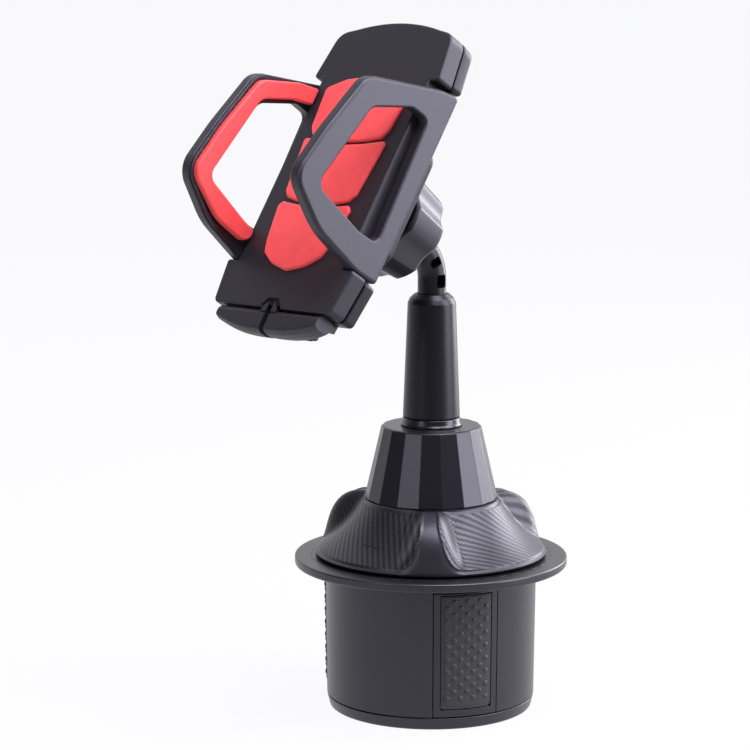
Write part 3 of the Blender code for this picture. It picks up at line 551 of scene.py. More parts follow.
def woven_plastic(name):
    """The knob's finish: a carbon-fibre twill on its three panels, and smooth crests between them.

    The weave is drawn on each panel's cone as if it lay unrolled, with its strands along and across
    the panel's middle line.
    """
    g = Graph(bpy.data.materials.new(name))

    def times(a, b):
        return g.math("MULTIPLY", a, b)

    split = g.node("SeparateXYZ", {0: g.place})
    x = split.outputs["X"]
    y = split.outputs["Y"]
    slant = (KNOB_EDGE_R - KNOB_RING_R) / hypot(KNOB_EDGE_R - KNOB_RING_R, KNOB_TOP - KNOB_EDGE_Z)
    third = 2 * pi / KNOB_FINS
    past_fin = g.math("SUBTRACT", g.math("ARCTAN2", y, x), radians(KNOB_HEADING))
    from_middle = g.math("SUBTRACT", g.math("FLOORED_MODULO", past_fin, third), third / 2)
    unrolled = times(from_middle, slant)
    radius = g.math("SQRT", g.math("ADD", times(x, x), times(y, y)))
    reach = g.math("DIVIDE", radius, slant * WEAVE_PITCH * MM)
    across = times(reach, g.math("SINE", unrolled))
    along = times(reach, g.math("COSINE", unrolled))
    cell = g.math("FLOORED_MODULO", g.math("SUBTRACT", g.math("FLOOR", along), g.math("FLOOR", across)), 4.0)
    over = g.math("LESS_THAN", cell, 1.5)
    # painted shade: each strand is darker towards its edges, as if its round sides turned from the light
    strand_a = g.math("ABSOLUTE", g.math("SINE", times(across, pi)))
    strand_b = g.math("ABSOLUTE", g.math("SINE", times(along, pi)))
    picked_a = times(strand_a, over)
    picked_b = times(strand_b, g.math("SUBTRACT", 1.0, over))
    painted_strand_shade = g.math("ADD", picked_a, picked_b)
    panel = g.node("Attribute", attribute_name="panel").outputs["Fac"]
    # the twill pattern is real; its over strands are painted lighter, a painted reflection of the light the
    # weave's relief catches
    lit = g.math("ADD", times(over, 0.7), times(painted_strand_shade, 0.3))
    plain = times(g.math("SUBTRACT", 1.0, panel), 0.6)
    share = g.math("ADD", times(lit, panel), plain)
    g.set("Base Color", g.blend(share, (0.007, 0.0065, 0.009), (0.018, 0.017, 0.022)))
    g.set("Specular IOR Level", g.ranged(share, 0.18, 0.72, 0.0, 1.0))
    g.set("Specular Tint", COOL)
    g.set("Roughness", g.ranged(g.noise(1.0, 3.0), 0.37, 0.41))
    fine = g.bump(g.noise(0.25, 2.0), 0.006)
    g.set("Normal", g.bump(times(over, panel), 0.03, fine))
    return g.owner


def rubber(name, colour, rough, depth=0.012, sheen=0.15):
    """Soft moulded rubber: fine grain on a slightly wavy surface, with a faint sheen."""
    g = Graph(bpy.data.materials.new(name))
    shade = g.ranged(g.noise(5.0, 3.0), 0.0, 1.0)
    g.set("Base Color", g.blend(shade, colour, tuple(c * 1.12 for c in colour)))
    g.set("Roughness", g.ranged(g.noise(2.0, 3.0), rough - 0.04, rough + 0.06))
    g.set("Sheen Weight", sheen)
    g.set("Sheen Roughness", 0.4)
    waves = g.bump(g.noise(8.0, 1.0), 0.04)
    g.set("Normal", g.bump(g.noise(0.2, 3.0, 0.65), depth, waves))
    return g.owner


def metal(name):
    """Bright zinc-plated steel with faint turning marks."""
    g = Graph(bpy.data.materials.new(name))
    shade = g.ranged(g.noise(1.5, 3.0), 0.0, 1.0)
    g.set("Base Color", g.blend(shade, (0.50, 0.50, 0.52), (0.62, 0.62, 0.64)))
    g.set("Metallic", 1.0)
    g.set("Roughness", g.ranged(g.noise(0.8, 3.0), 0.24, 0.38))
    g.set("Normal", g.bump(g.noise(0.15, 2.0, stretch=(1.0, 1.0, 0.2)), 0.005))
    return g.owner


RED = (0.78, 0.062, 0.068)
PLASTIC = plastic("moulded_plastic")
SATIN = plastic("satin_plastic", rough=0.34, grain=0.5, depth=0.006, specular=0.62)
POLE_SATIN = plastic("pole_plastic", (0.0045, 0.0042, 0.0055), rough=0.33, grain=0.5, depth=0.006,
                     specular=0.34)
CASING = plastic("rear_casing_plastic", (0.0075, 0.007, 0.0095), rough=0.42, depth=0.016, specular=0.36)
GRAINED = plastic("spark_grained_plastic", (0.013, 0.012, 0.017), rough=0.43, grain=0.35, depth=0.022)
MATT = plastic("matt_face_plastic", (0.0095, 0.0085, 0.012), rough=0.50, grain=0.22, depth=0.014)
FACETED = plastic("faceted_collar_plastic", rough=0.30, grain=0.45, depth=0.010, specular=0.45)
GLOSS = plastic("gloss_ring_plastic", rough=0.27, grain=0.8, depth=0.002)
WOVEN = woven_plastic("woven_knob_plastic")
PAD_RUBBER = rubber("jaw_pad_rubber", (0.019, 0.018, 0.022), rough=0.50, sheen=0.0)
HIDDEN_RUBBER = rubber("ball_pad_rubber", (0.022, 0.021, 0.023), rough=0.7)
RED_RUBBER = rubber("red_silicone", RED, rough=0.55, depth=0.02)
STEEL = metal("zinc_steel")


# ---- base

def cup_radius(z):
    return CUP_R + CUP_DRAFT * (z - CAP_TOP)


def base_cup():
    low = CAP_TOP + GAP
    deck_low = DECK_TOP - DECK_THICK
    loop = rounded([(cup_radius(low), low, 0.3), (cup_radius(deck_low), deck_low, 1.1),
                    (FLANGE_R, deck_low, 0.8), (FLANGE_R, DECK_TOP, 0.6), (DECK_BORE_R, DECK_TOP, 0.3),
                    (DECK_BORE_R, deck_low, 0.0), (cup_radius(deck_low) - CUP_WALL, deck_low, 0.6),
                    (cup_radius(low) - CUP_WALL, low, 0.2)], 5)
    half = JAW_SPAN / 2 + degrees(GAP / CUP_R)
    opening = box_outline(CUP_R - 6, CUP_R + 4, 2.0, JAW_TOP + GAP)
    windows = [turned(opening, 18, heading - half, 2 * half) for heading in JAW_HEADINGS]
    cup = build("cup_shell", turned(loop, 192), cut=windows)
    stand_for(cup, "base", "base_cup", SATIN)


def flange_marks():
    """A ring of faint raised ticks near the flange's edge."""
    bar = round_box(40.1, 40.6, DECK_TOP - 0.2, DECK_TOP + 0.07, (0.0, 0.0, 0.05, 0.05), 2)
    ticks = [turned(bar, 4, k * 360.0 / FLANGE_TICKS, 4.2) for k in range(FLANGE_TICKS)]
    dress(build("flange_marks", together(*ticks), crease=35.0), "base", SATIN)


def cap_screw_spots():
    """Halfway between the jaws."""
    spokes = [radians(heading + 60) for heading in JAW_HEADINGS]
    return [(CAP_SCREW_R * cos(a), CAP_SCREW_R * sin(a)) for a in spokes]


def base_cap():
    lip_r = CUP_R - CUP_WALL - GAP
    loop = rounded([(0.0, 0.0, 0.0), (9.2, 0.0, 0.3), (9.9, 0.7, 0.3), (30.1, 0.7, 0.3), (30.8, 0.0, 0.3),
                    (34.0, 0.0, 1.0), (cup_radius(CAP_TOP), CAP_TOP, 0.25), (lip_r, CAP_TOP, 0.0),
                    (lip_r, 7.2, 0.3), (lip_r - 1.6, 7.2, 0.3), (lip_r - 1.6, 2.9, 0.0), (0.0, 2.9, 0.0)], 4)
    rails = [spun(brick(11.0, 28.5, y, y + 1.8, 2.0, 12.0), heading)
             for heading in JAW_HEADINGS for y in (-6.0, 4.2)]
    holes = []
    for x, y in cap_screw_spots():
        rails.append(rod(3.4, 2.0, 9.0, x, y))
        holes += [rod(1.5, -1.0, 12.0, x, y), rod(3.1, -1.0, 2.6, x, y)]
    cap = build("cap_moulding", turned(loop, 144), add=rails, cut=holes, bevel=0.15)
    stand_for(cap, "base", "base_cap", SATIN)


def jaw(number, heading):
    """A jaw's wall with its pocket, and the tongues that carry it inside the cup."""
    low = CAP_TOP + GAP + 0.1
    wall = rounded([(cup_radius(low), low, 0.25), (cup_radius(JAW_TOP), JAW_TOP, 0.25),
                    (CUP_R - JAW_WALL, JAW_TOP, 0.2), (CUP_R - JAW_WALL, low, 0.2)], 3)
    tongues = [brick(13.0, 33.4, -6.0, 6.0, 37.0, GUIDE_LOW - GAP), brick(12.0, 33.4, -3.9, 3.9, 7.9, 12.4),
               brick(26.0, 33.4, -1.2, 1.2, 10.0, 39.0)]
    span = PAD_SPAN + 2 * degrees(GAP / CUP_R)
    recess = box_outline(CUP_R - 0.9, CUP_R + 4, PAD_LOW - GAP, PAD_HIGH + GAP)
    pocket = turned(recess, 16, -span / 2, span)
    pin_hole = rod(PIN_R + GAP, 39.0, 44.0, PIN_REST)
    place = Matrix.Rotation(radians(heading), 4, "Z")
    thing = build(f"jaw_wall_{number}", turned(wall, 20, -JAW_SPAN / 2, JAW_SPAN), place, add=tongues,
                  cut=[pocket, pin_hole], bevel=0.12)
    stand_for(thing, f"jaw_{number}", f"jaw_{number}", SATIN)


def wrapped_slab(half_span, low, high, back, front, corner, edge):
    """A slab bent round the cup, with round low corners.

    half_span is in degrees, and back and front are measured out of the cup's wall.
    """
    steps = 24
    half = radians(half_span) * CUP_R
    stops = [half * (1 - cos(pi * k / steps)) - half for k in range(steps + 1)]
    sections = []
    for stop in stops:
        to_end = half - abs(stop)
        rise = corner - sqrt(max(corner ** 2 - max(corner - to_end, 0.0) ** 2, 0.0))
        loop = round_box(back, front, low + rise, high, (0.0, edge, edge, 0.0), 3)
        lift = min(to_end / edge, 1.0)
        drop = edge * (1 - sqrt(max(1 - (1 - lift) ** 2, 0.0)))
        heading = stop / CUP_R
        section = []
        for depth, z in loop:
            r = cup_radius(z) + min(depth, front - drop)
            section.append((r * cos(heading), r * sin(heading), z))
        sections.append(section)
    return lofted(sections)


def jaw_pad(number, heading):
    """The rubber pad: a rimmed slab with staggered round studs."""
    columns = 7
    pitch_z = 4.35
    column_turn = 3.6
    slab = wrapped_slab(PAD_SPAN / 2, PAD_LOW, PAD_HIGH, -0.6, 0.02, 1.6, 0.18)
    field = wrapped_slab(PAD_SPAN / 2 - 1.7, PAD_LOW + 1.1, PAD_HIGH - 0.4, -0.5, 0.22, 1.5, 0.14)
    shapes = [slab, field]
    for column in range(columns):
        turn = (column - (columns - 1) / 2) * column_turn
        z = PAD_LOW + 3.6 + (pitch_z / 2 if column % 2 else 0.0)
        while z < PAD_HIGH - 1.4:
            shapes.append(stud(cup_radius(z) + 0.15, turn, z))
            z += pitch_z
    place = Matrix.Rotation(radians(heading), 4, "Z")
    thing = build(f"studded_pad_{number}", together(*shapes), place, crease=50.0)
    stand_for(thing, f"jaw_{number}", f"jaw_pad_{number}", PAD_RUBBER)


def stud(radius, turn, z):
    """A low dome that stands out of the cup's wall, on a short foot inside it."""
    wide = 0.98
    tall = 0.42
    sections = [[(radius - 0.3, x, z + y) for x, y in circle(wide, 14)]]
    for share in (0.0, 0.25, 0.5, 0.75, 0.93):
        a = pi / 2 * share
        sections.append([(radius + tall * sin(a), x, z + y) for x, y in circle(wide * cos(a), 14)])
    return spun(lofted(sections), turn)


PANEL_OUT = Vector((0.7, 0.71))  # out of a panel, as (radius, height)


def from_fin(heading):
    """Degrees from the middle of the nearest fin."""
    pitch = 360.0 / KNOB_FINS
    return abs((heading - KNOB_HEADING + pitch / 2) % pitch - pitch / 2)


def smooth_step(share):
    share = min(max(share, 0.0), 1.0)
    return share * share * (3.0 - 2.0 * share)


def knob_surface(heading, t):
    """The knob's (radius, height), without its panels, from t = 0 at the ring to 1 at the edge."""
    share = 1.0 - smooth_step((from_fin(heading) - FIN_FLAT) / (FIN_HALF - FIN_FLAT))
    dip = 1.1 * sin(pi * t)
    plain = Vector((KNOB_RING_R + (KNOB_EDGE_R - KNOB_RING_R) * t - dip,
                    KNOB_TOP + (KNOB_EDGE_Z - KNOB_TOP) * t - dip))
    flat_share = 1 / 7
    if t < flat_share:
        fin = Vector((KNOB_RING_R, KNOB_TOP)).lerp(Vector((FIN_CORE_R, FIN_CREST_Z)), t / flat_share)
    else:
        swell = pi / 2 * (1 - (t - flat_share) / (1 - flat_share))
        fin = Vector((FIN_CORE_R + (KNOB_EDGE_R - FIN_CORE_R) * max(cos(swell), 0.0) ** FIN_POWER,
                      KNOB_EDGE_Z + (FIN_CREST_Z - KNOB_EDGE_Z) * max(sin(swell), 0.0) ** FIN_POWER))
    return plain.lerp(fin, share)


def panel_share(heading, t, radius):
    """1 on a patterned panel and 0 on a fin's smooth crest, with a soft step between."""
    half = 4.0 + 6.0 * max((t - 0.45) / 0.55, 0.0) ** 1.7 + max((0.45 - t) / 0.45, 0.0)
    across = radians(from_fin(heading) - half) * radius
    down = min(t - 0.06, 0.95 - t) * PANEL_LENGTH
    if across < PANEL_CORNER and down < PANEL_CORNER:
        inside = PANEL_CORNER - hypot(PANEL_CORNER - across, PANEL_CORNER - down)
    else:
        inside = min(across, down)
    return smooth_step(inside / PANEL_STEP)


def adjusting_knob():
    """Its top is fine enough for the panels' edges, and carries a mask for their weave."""
    rows = 84
    steps = 636

    def loop_at(heading):
        loop = [tuple(knob_surface(heading, 0.0))]
        for row in range(1, rows + 1):
            spot = knob_surface(heading, row / rows)
            share = panel_share(heading, row / rows, spot.x)
            loop.append(tuple(spot + PANEL_OUT * (PANEL_RAISE * (share - 1.0) + 0.1)))
        edge_r, edge_z = loop[-1]
        loop += [(edge_r - 0.15, edge_z - 0.45), (edge_r - 0.7, edge_z - 0.8), (36.4, KNOB_LOW + 0.1),
                 (36.2, KNOB_LOW), (34.6, KNOB_LOW), (20.4, 67.6), (17.4, 67.6), (17.4, 54.8), (14.1, 54.8),
                 (14.1, KNOB_TOP), (KNOB_RING_R - 0.3, KNOB_TOP)]
        return loop

    thing = build("knob_body", revolved(loop_at, steps, KNOB_HEADING), crease=60.0)
    panel = thing.data.attributes.new("panel", "FLOAT", "POINT")
    for index, vertex in enumerate(thing.data.vertices):
        x, y, z = vertex.co / MM
        radius = hypot(x, y)
        if radius > KNOB_RING_R and z > KNOB_EDGE_Z - 0.5:
            heading = degrees(atan2(y, x))
            panel.data[index].value = panel_share(heading, nearest_row(heading, radius, z), radius)
    stand_for(thing, "knob", "adjusting_knob", WOVEN)
    arrow()


def nearest_row(heading, radius, z):
    """The t of knob_surface that lies nearest to a point, found by halving its steps."""
    def away(t):
        return (knob_surface(heading, t) - Vector((radius, z))).length

    best = min((k / 12 for k in range(13)), key=away)
    reach = 1 / 24
    while reach > 0.004:
        best = min((min(max(best + move, 0.0), 1.0) for move in (-reach, 0.0, reach)), key=away)
        reach /= 2
    return best


def arrow():
    """A plain turning arrow, raised on one panel."""
    shaft = [(1.2 * k, -0.16) for k in range(-3, 2)]
    outline = shaft + [(1.2, -0.9), (3.6, 0.0), (1.2, 0.9)] + [(x, 0.16) for x, y in reversed(shaft)]
    sections = []
    for height in (0.0, 0.22):
        ring = []
        for along, down in outline:
            heading = ARROW_HEADING + degrees(along / ARROW_R)
            spot = knob_surface(heading, 0.60 - down / PANEL_LENGTH) + PANEL_OUT * (height + 0.02)
            ring.append((spot.x * cos(radians(heading)), spot.x * sin(radians(heading)), spot.y))
        sections.append(ring)
    dress(build("knob_arrow", lofted(sections), bevel=0.06, crease=35.0), "knob", PLASTIC)


def cone_collar():
    spokes = [radians(CONE_HEADING + 360.0 / CONE_FACETS * k) for k in range(CONE_FACETS)]
    levels = [(CONE_LOW_R, CONE_LOW), (CONE_HIGH_R, CONE_HIGH), (CONE_HIGH_R - 0.6, CONE_HIGH + 0.4)]
    rings = [[(r * cos(a), r * sin(a), z) for a in spokes] for r, z in levels]
    bore = [(0.0, CONE_LOW - 1), (SPINDLE_R + GAP, CONE_LOW - 1), (SPINDLE_R + GAP, SPINDLE_TOP + GAP),
            (SPIGOT_R + GAP, SPINDLE_TOP + GAP), (SPIGOT_R + GAP, CONE_HIGH + 3), (0.0, CONE_HIGH + 3)]
    thing = build("faceted_collar", lofted(rings), cut=[turned(bore, 64)], bevel=0.16, crease=12.0)
    stand_for(thing, "base", "cone_collar", FACETED)


def collar_ring():
    loop = rounded([(SPIGOT_R + GAP, 96.3, 0.0), (10.4, 96.3, 0.1), (9.85, 97.1, 0.5), (9.6, 98.8, 0.25),
                    (SPIGOT_R + GAP, 98.8, 0.1)], 4)
    thing = build("gloss_ring", turned(loop, 96), crease=35.0)
    stand_for(thing, "base", "collar_ring", GLOSS)


def pole():
    loop = rounded([(2.2, SPIGOT_LOW, 0.0), (SPIGOT_R, SPIGOT_LOW, 0.3), (SPIGOT_R, POLE_LOW, 0.0),
                    (POLE_LOW_R, POLE_LOW, 0.3), (POLE_HIGH_R, POLE_SHOULDER, 0.8),
                    (7.3, POLE_SHOULDER + 1.6, 1.2), (5.8, POLE_TOP, 0.3), (NECK_R + GAP, POLE_TOP, 0.1),
                    (NECK_R + GAP, 119.0, 0.0), (6.2, 117.8, 0.0), (6.2, 66.0, 0.0), (2.2, 66.0, 0.0)], 5)
    stand_for(build("tapered_pole", turned(loop, 96), crease=35.0), "pole", "pole", POLE_SATIN)


def neck():
    """Straight out of the pole, round a bend and into the ball."""
    ball = Vector(JOINTS["cradle_spin"]["pos_m"]) / MM
    tilt = atan2(JOINTS["cradle_spin"]["axis"][2], hypot(*JOINTS["cradle_spin"]["axis"][:2]))
    bend = pi / 2 - tilt
    corner_z = ball.z + ball.y * tan(tilt)
    tangent = NECK_BEND_R * tan(bend / 2)
    path = [(0.0, 0.0, 121.0), (0.0, 0.0, 140.0)]
    for step in range(17):
        a = bend * step / 16
        path.append((0.0, -NECK_BEND_R * (1 - cos(a)), corner_z - tangent + NECK_BEND_R * sin(a)))
    radii = [NECK_R] * len(path)
    heading = Vector((0.0, -cos(tilt), sin(tilt)))
    start = asin(NECK_R / BALL_R)
    for ring in range(19):
        a = start + (pi - 0.45 - start) * ring / 18
        path.append(tuple(ball - heading * (BALL_R * cos(a))))
        radii.append(BALL_R * sin(a))
    pockets = []
    for side in (-1, 1):
        pockets.append(neck_pocket(-1.7, 2.3, 142.6, 147.0, side))
        pockets.append(leant(neck_pocket(-2.0, 2.0, -1.6, 1.6, side), -2.1, 151.3, 27.0))
    thing = build("bent_neck", swept(path, radii, 48), cut=pockets, bevel=0.2, crease=42.0)
    stand_for(thing, "pole", "neck", POLE_SATIN)


def neck_pocket(y0, y1, z0, z1, side):
    """A cutter for a pocket with round corners in one side of the neck."""
    return on_side(along_x(prism(round_box(y0, y1, z0, z1, [0.8] * 4, 4), 1.6, 6.0)), side)


base_cup()
flange_marks()
base_cap()
for number, heading in enumerate(JAW_HEADINGS, 1):
    jaw(number, heading)
    jaw_pad(number, heading)
adjusting_knob()
cone_collar()
collar_ring()
pole()
neck()


# ---- cradle

def face_outline(corner=1.2, tip=0.6):
    """The cradle's outline: notched foot, recessed waist for the arms, and an arched head."""
    arch_r = 80.0
    head_top = 53.5
    half = [(2.2, -49.3, 0.4), (4.6, -52.0, tip), (28.9, -52.0, 2.2), (31.35, -36.3, corner),
            (WAIST_X, -36.3, 0.0), (WAIST_X, 32.2, 0.0), (30.65, 32.2, corner), (27.6, 49.4, 5.5)]
    for x in (20.0, 17.0, 14.0, 11.0, 8.0, 5.0, 2.5, 0.0):
        half.append((x, head_top - arch_r + sqrt(arch_r ** 2 - x * x), 0.0))
    return rounded(mirrored(half))


SCREW_SEAT = -10.2  # where the casing screws' counterbores end


def casing_screw_spots():
    return [(x, y) for x in (-20.0, 20.0) for y in (-42.0, 41.0)]


def rack_window(side, low, high):
    """A slot in one side wall for that side's rack."""
    reach = sorted((side * 23.0, side * 29.0))
    band = (BALL_Y + 4.3, BALL_Y + 11.1) if side > 0 else (BALL_Y - 11.1, BALL_Y - 4.3)
    return brick(*reach, *band, low, high)


def front_cover():
    cuts = [brick(-CAVITY_X, CAVITY_X, -47.0, 47.5, -9.0, -2.0)]
    cuts += [rack_window(side, -8.0, RACK_FRONT + GAP) for side in (-1, 1)]
    shell = soft_prism(face_outline(), FACE_SEAM, 0.0, 0.75, 0.7, steps=5)
    thing = build("face_shell", shell, CRADLE, cut=cuts)
    stand_for(thing, "cradle", "front_cover", MATT)


def foot_lug(x0, x1):
    """A hanging lug with a round front for the foot pin, under the front cover's lower edge."""
    side = [(-48.2, BACK_FACE + 0.3), (-48.2, BACK_SEAM), (-52.35, BACK_SEAM)]
    for a in range(-30, 201, 10):
        side.append((FOOT_PIN_Y + LUG_R * cos(radians(a)), FOOT_PIN_Z + LUG_R * sin(radians(a))))
    side.append((-54.0, BACK_FACE + 0.9))
    return along_x(soft_prism(side, x0, x1, 0.12, 0.12))


def back_cover():
    round_edge = 1.1
    rows = [(1.7, BACK_FACE)]
    for a in (0.0, pi / 6, pi / 3, pi / 2):
        rows.append((0.5 + round_edge * (1 - sin(a)), BACK_FACE + round_edge * (1 - cos(a))))
    rows += [(0.05, BACK_SEAM - 0.8), (0.3, BACK_SEAM - 0.25), (0.9, BACK_SEAM), (1.0, BACK_SEAM)]
    cuts = [brick(-CAVITY_X, CAVITY_X, -47.0, 47.5, -10.1, -5.0), brick(-2.2, 2.2, -32.2, -26.6, -14.0, -8.0),
            rod(1.8, -14.0, -8.0, 0.0, BALL_Y)]
    for x, y in casing_screw_spots():
        cuts += [rod(1.5, -14.0, -5.0, x, y), rod(3.1, -14.0, SCREW_SEAT, x, y, 40)]
    cuts += [rack_window(side, RACK_BACK - GAP, -5.0) for side in (-1, 1)]
    lugs = [foot_lug(-0.9, 0.9), foot_lug(*LUG_X), foot_lug(-LUG_X[1], -LUG_X[0])]
    shell = stacked(face_outline(1.9, 1.9), rows)
    thing = build("rear_shell", shell, CRADLE, add=lugs, cut=cuts)
    stand_for(thing, "cradle", "back_cover", CASING)


def joint_housing():
    """The raised box behind the cradle, with a spine that carries the release slider."""
    low = BALL_Y - 21.0
    high = BALL_Y + 21.0
    front = BACK_FACE - GAP
    wall = 1.8
    outside = round_box(-21.0, 21.0, low, high, [5.0] * 4, 12)
    inside = round_box(-19.2, 19.2, low + wall, high - wall, [3.2] * 4)
    back_bone = round_box(-8.6, 8.6, -50.4, low + 4.0, (1.5, 1.5, 0.0, 0.0))
    box = soft_prism(outside, HOUSING_BACK, front, 1.6, 0.2, steps=6)
    hollow = prism(inside, HOUSING_BACK + wall, BACK_FACE + 5.0)
    spine = soft_prism(back_bone, -20.3, front, 0.8, 0.15)
    channel = brick(-6.9, 6.9, -55.0, low + 6.0, -18.9, BACK_FACE + 5.0)
    bore = rod(12.6, -30.0, -5.0, 0.0, BALL_Y, 96)
    cuts = [hollow, channel, bore]
    thing = build("joint_cover", box, CRADLE, add=[spine], cut=cuts, bevel=0.25, crease=45.0)
    stand_for(thing, "cradle", "joint_housing", CASING)


def drafted(shape):
    """Leans a right-hand piece inwards towards the front."""
    points, faces = shape
    return [(x - ARM_DRAFT * (z - ARM_BACK), y, z) for x, y, z in points], faces


def arm_outline():
    """The side view of an arm, as (y, z) corners."""
    return rounded([(ARM_LOW_Y, ARM_BACK, 1.4), (ARM_HIGH_Y, ARM_BACK, 1.4), (30.6, -3.0, 20.0),
                    (18.9, 25.6, 7.5), (-3.5, 31.6, 60.0), (-22.3, 35.2, 8.5), (-32.5, 18.0, 24.0),
                    (-36.4, -2.0, 20.0)], 10)


def arm_window():
    """The opening in an arm's side view."""
    return rounded([(19.2, -2.8, 2.6), (19.4, 4.6, 4.0), (11.2, 18.9, 5.0), (-20.3, 25.6, 3.6),
                    (-24.6, 4.0, 6.0), (-24.4, -4.4, 2.6)][::-1], 8)


def liner_outline():
    """The soft C round the arm's window, which stops just above the cradle's face."""
    return rounded([(27.4, 0.5, 0.8), (24.9, 9.0, 12.0), (17.2, 23.8, 6.0), (-3.8, 29.8, 60.0),
                    (-22.0, 33.0, 6.0), (-30.2, 16.0, 16.0), (-31.2, 2.6, 4.0), (-28.6, 0.5, 0.8),
                    (-25.9, 0.5, 0.8), (-24.9, 6.6, 6.0), (-20.2, 26.4, 3.6), (12.0, 20.4, 5.0),
                    (19.0, 8.0, 8.0), (21.4, 0.5, 0.8)][::-1], 8)


def rim_strip(outline, outer, inner, low):
    """The part of a band along an outline's edge that lies above a height."""
    edge = anticlockwise(outline)
    runs = []
    for amount in (outer, inner):
        loop = inset(edge, amount)
        below = next(k for k in range(len(loop)) if loop[k][1] < low)
        loop = loop[below:] + loop[:below]
        runs.append([point for point in loop if point[1] >= low])
    return runs[0] + runs[1][::-1]


def rack_shape(side):
    """A toothed bar reaching inwards past the pinion. The right arm's rack is the upper one."""
    pitch = pi * MODULE
    line = BALL_Y + side * MODULE * PINION_TEETH / 2
    lean = tan(radians(20.0))
    half = pitch / 4 - 0.16
    root = 1.3
    crest = 0.85
    tip = half - lean * crest
    foot = half + lean * root
    outline = [(-23.8, 4.6), (27.6, 4.6), (27.6, root)]
    for k in range(9):
        middle = pitch * (1 - k)
        for offset, rise in ((foot, root), (tip, -crest), (-tip, -crest), (-foot, root)):
            outline.append((middle + offset, rise))
    outline.append((-23.8, root))
    return prism([(side * x, line + side * y) for x, y in outline], RACK_BACK, RACK_FRONT)


def arm(word, side):
    rows = edge_rows(ARM_INNER_X, ARM_OUTER_X, 0.5, 1.3, 6)
    hole_rows = edge_rows(ARM_INNER_X, ARM_OUTER_X, 0.4, 0.7, 5)
    band = stacked(arm_outline(), rows, [arm_window()], hole_rows)
    lip_strip = rim_strip(arm_outline(), 0.55, 1.75, 1.2)
    lip = soft_prism(lip_strip, ARM_INNER_X - 0.75, ARM_INNER_X + 0.4, 0.3, 0.1)
    shape = together(drafted(along_x(band)), drafted(along_x(lip)))
    shape = together(on_side(shape, side), rack_shape(side))
    thing = build(f"clamp_arm_{word}", shape, CRADLE)
    stand_for(thing, f"arm_{word}", f"arm_{word}", GRAINED)


def arm_liner(word, side):
    slab = soft_prism(liner_outline(), LINER_INNER_X, ARM_INNER_X - 0.25, 0.65, 0.15, steps=6)
    shape = on_side(drafted(along_x(slab)), side)
    thing = build(f"soft_liner_{word}", shape, CRADLE, crease=50.0)
    stand_for(thing, f"arm_{word}", f"arm_liner_{word}", RED_RUBBER)


# The right halves of the three pads on the cradle's face, listed upwards
TOP_PAD = [(0.0, 8.2, 0.0), (10.0, 8.9, 0.0), (17.0, 10.2, 1.6), (19.0, 13.0, 2.0), (20.6, 28.0, 2.4),
           (12.0, 31.4, 0.0), (0.0, 32.8, 0.0)]
MIDDLE_PAD = [(0.0, -14.6, 0.0), (10.0, -14.1, 4.0), (15.2, -13.0, 1.6), (17.2, -10.8, 1.6),
              (19.9, 9.3, 1.4), (10.0, 7.8, 0.0), (0.0, 7.1, 0.0)]
LOWER_PAD = [(0.0, -39.0, 3.0), (8.0, -37.0, 8.0), (13.8, -33.4, 2.4), (15.4, -29.0, 6.0), (17.6, -16.4, 1.2),
             (16.2, -14.5, 1.2), (10.0, -15.2, 0.0), (0.0, -15.7, 0.0)]


def face_pad(word, half):
    shape = pillow(rounded(mirrored(half), 6), 0.05, 1.15, 0.75, 0.25)
    thing = build(f"face_pad_{word}", shape, CRADLE, crease=60.0)
    stand_for(thing, "cradle", f"{word}_pad", RED_RUBBER)


def foot_section(x):
    """The foot's (y, z) section: knuckle round the pin, flat front and a round underside."""
    wide = max(0.0, (x - 6.0) / (FOOT_END - 6.0))
    low = -60.2 + 3.4 * wide ** 1.8
    back = -9.6 + 2.2 * wide ** 3
    drop = FOOT_PIN_Y - low
    corners = []
    for a in (90.0, 65.0, 40.0, 15.0):
        corners.append((FOOT_PIN_Y + FOOT_KNUCKLE * sin(radians(a)) - 0.5,
                        FOOT_PIN_Z + FOOT_KNUCKLE * cos(radians(a)), 0.6))
    corners += [(low + 0.6, 0.1 - 0.1 * drop / 6, 1.0), (low - 0.2, -2.0, 1.2), (low - 0.1, -4.6, 1.6),
                (low + 0.2 * drop, back + 1.2, 1.6), (FOOT_PIN_Y + 0.9, back, 0.5),
                (FOOT_PIN_Y + 1.9, back + 0.8, 0.3)]
    return [(x, y, z) for y, z in rounded(corners, 4)]


def foot(word, side):
    start = 1.2
    stations = [start + (FOOT_END - start) * (1 - cos(pi * k / 16)) / 2 for k in range(17)]
    sections = [foot_section(x) for x in stations]
    peak = prism([(1.2, -53.4), (3.7, -53.4), (3.6, -52.2), (2.1, -50.3), (1.2, -50.2)], -3.4, 0.08)
    bore = along_x(rod(FOOT_PIN_R + GAP, -2.0, FOOT_END - 0.8, FOOT_PIN_Y, FOOT_PIN_Z))
    slot = brick(LUG_X[0] - GAP, LUG_X[1] + GAP, -56.6, -50.0, -14.0, FOOT_PIN_Z + LUG_R + GAP)
    block, *extras = [on_side(shape, side) for shape in (lofted(sections), peak, bore, slot)]
    thing = build(f"fold_foot_{word}", block, CRADLE, add=extras[:1], cut=extras[1:], bevel=0.45, crease=38.0)
    stand_for(thing, f"foot_{word}", f"foot_{word}", MATT)


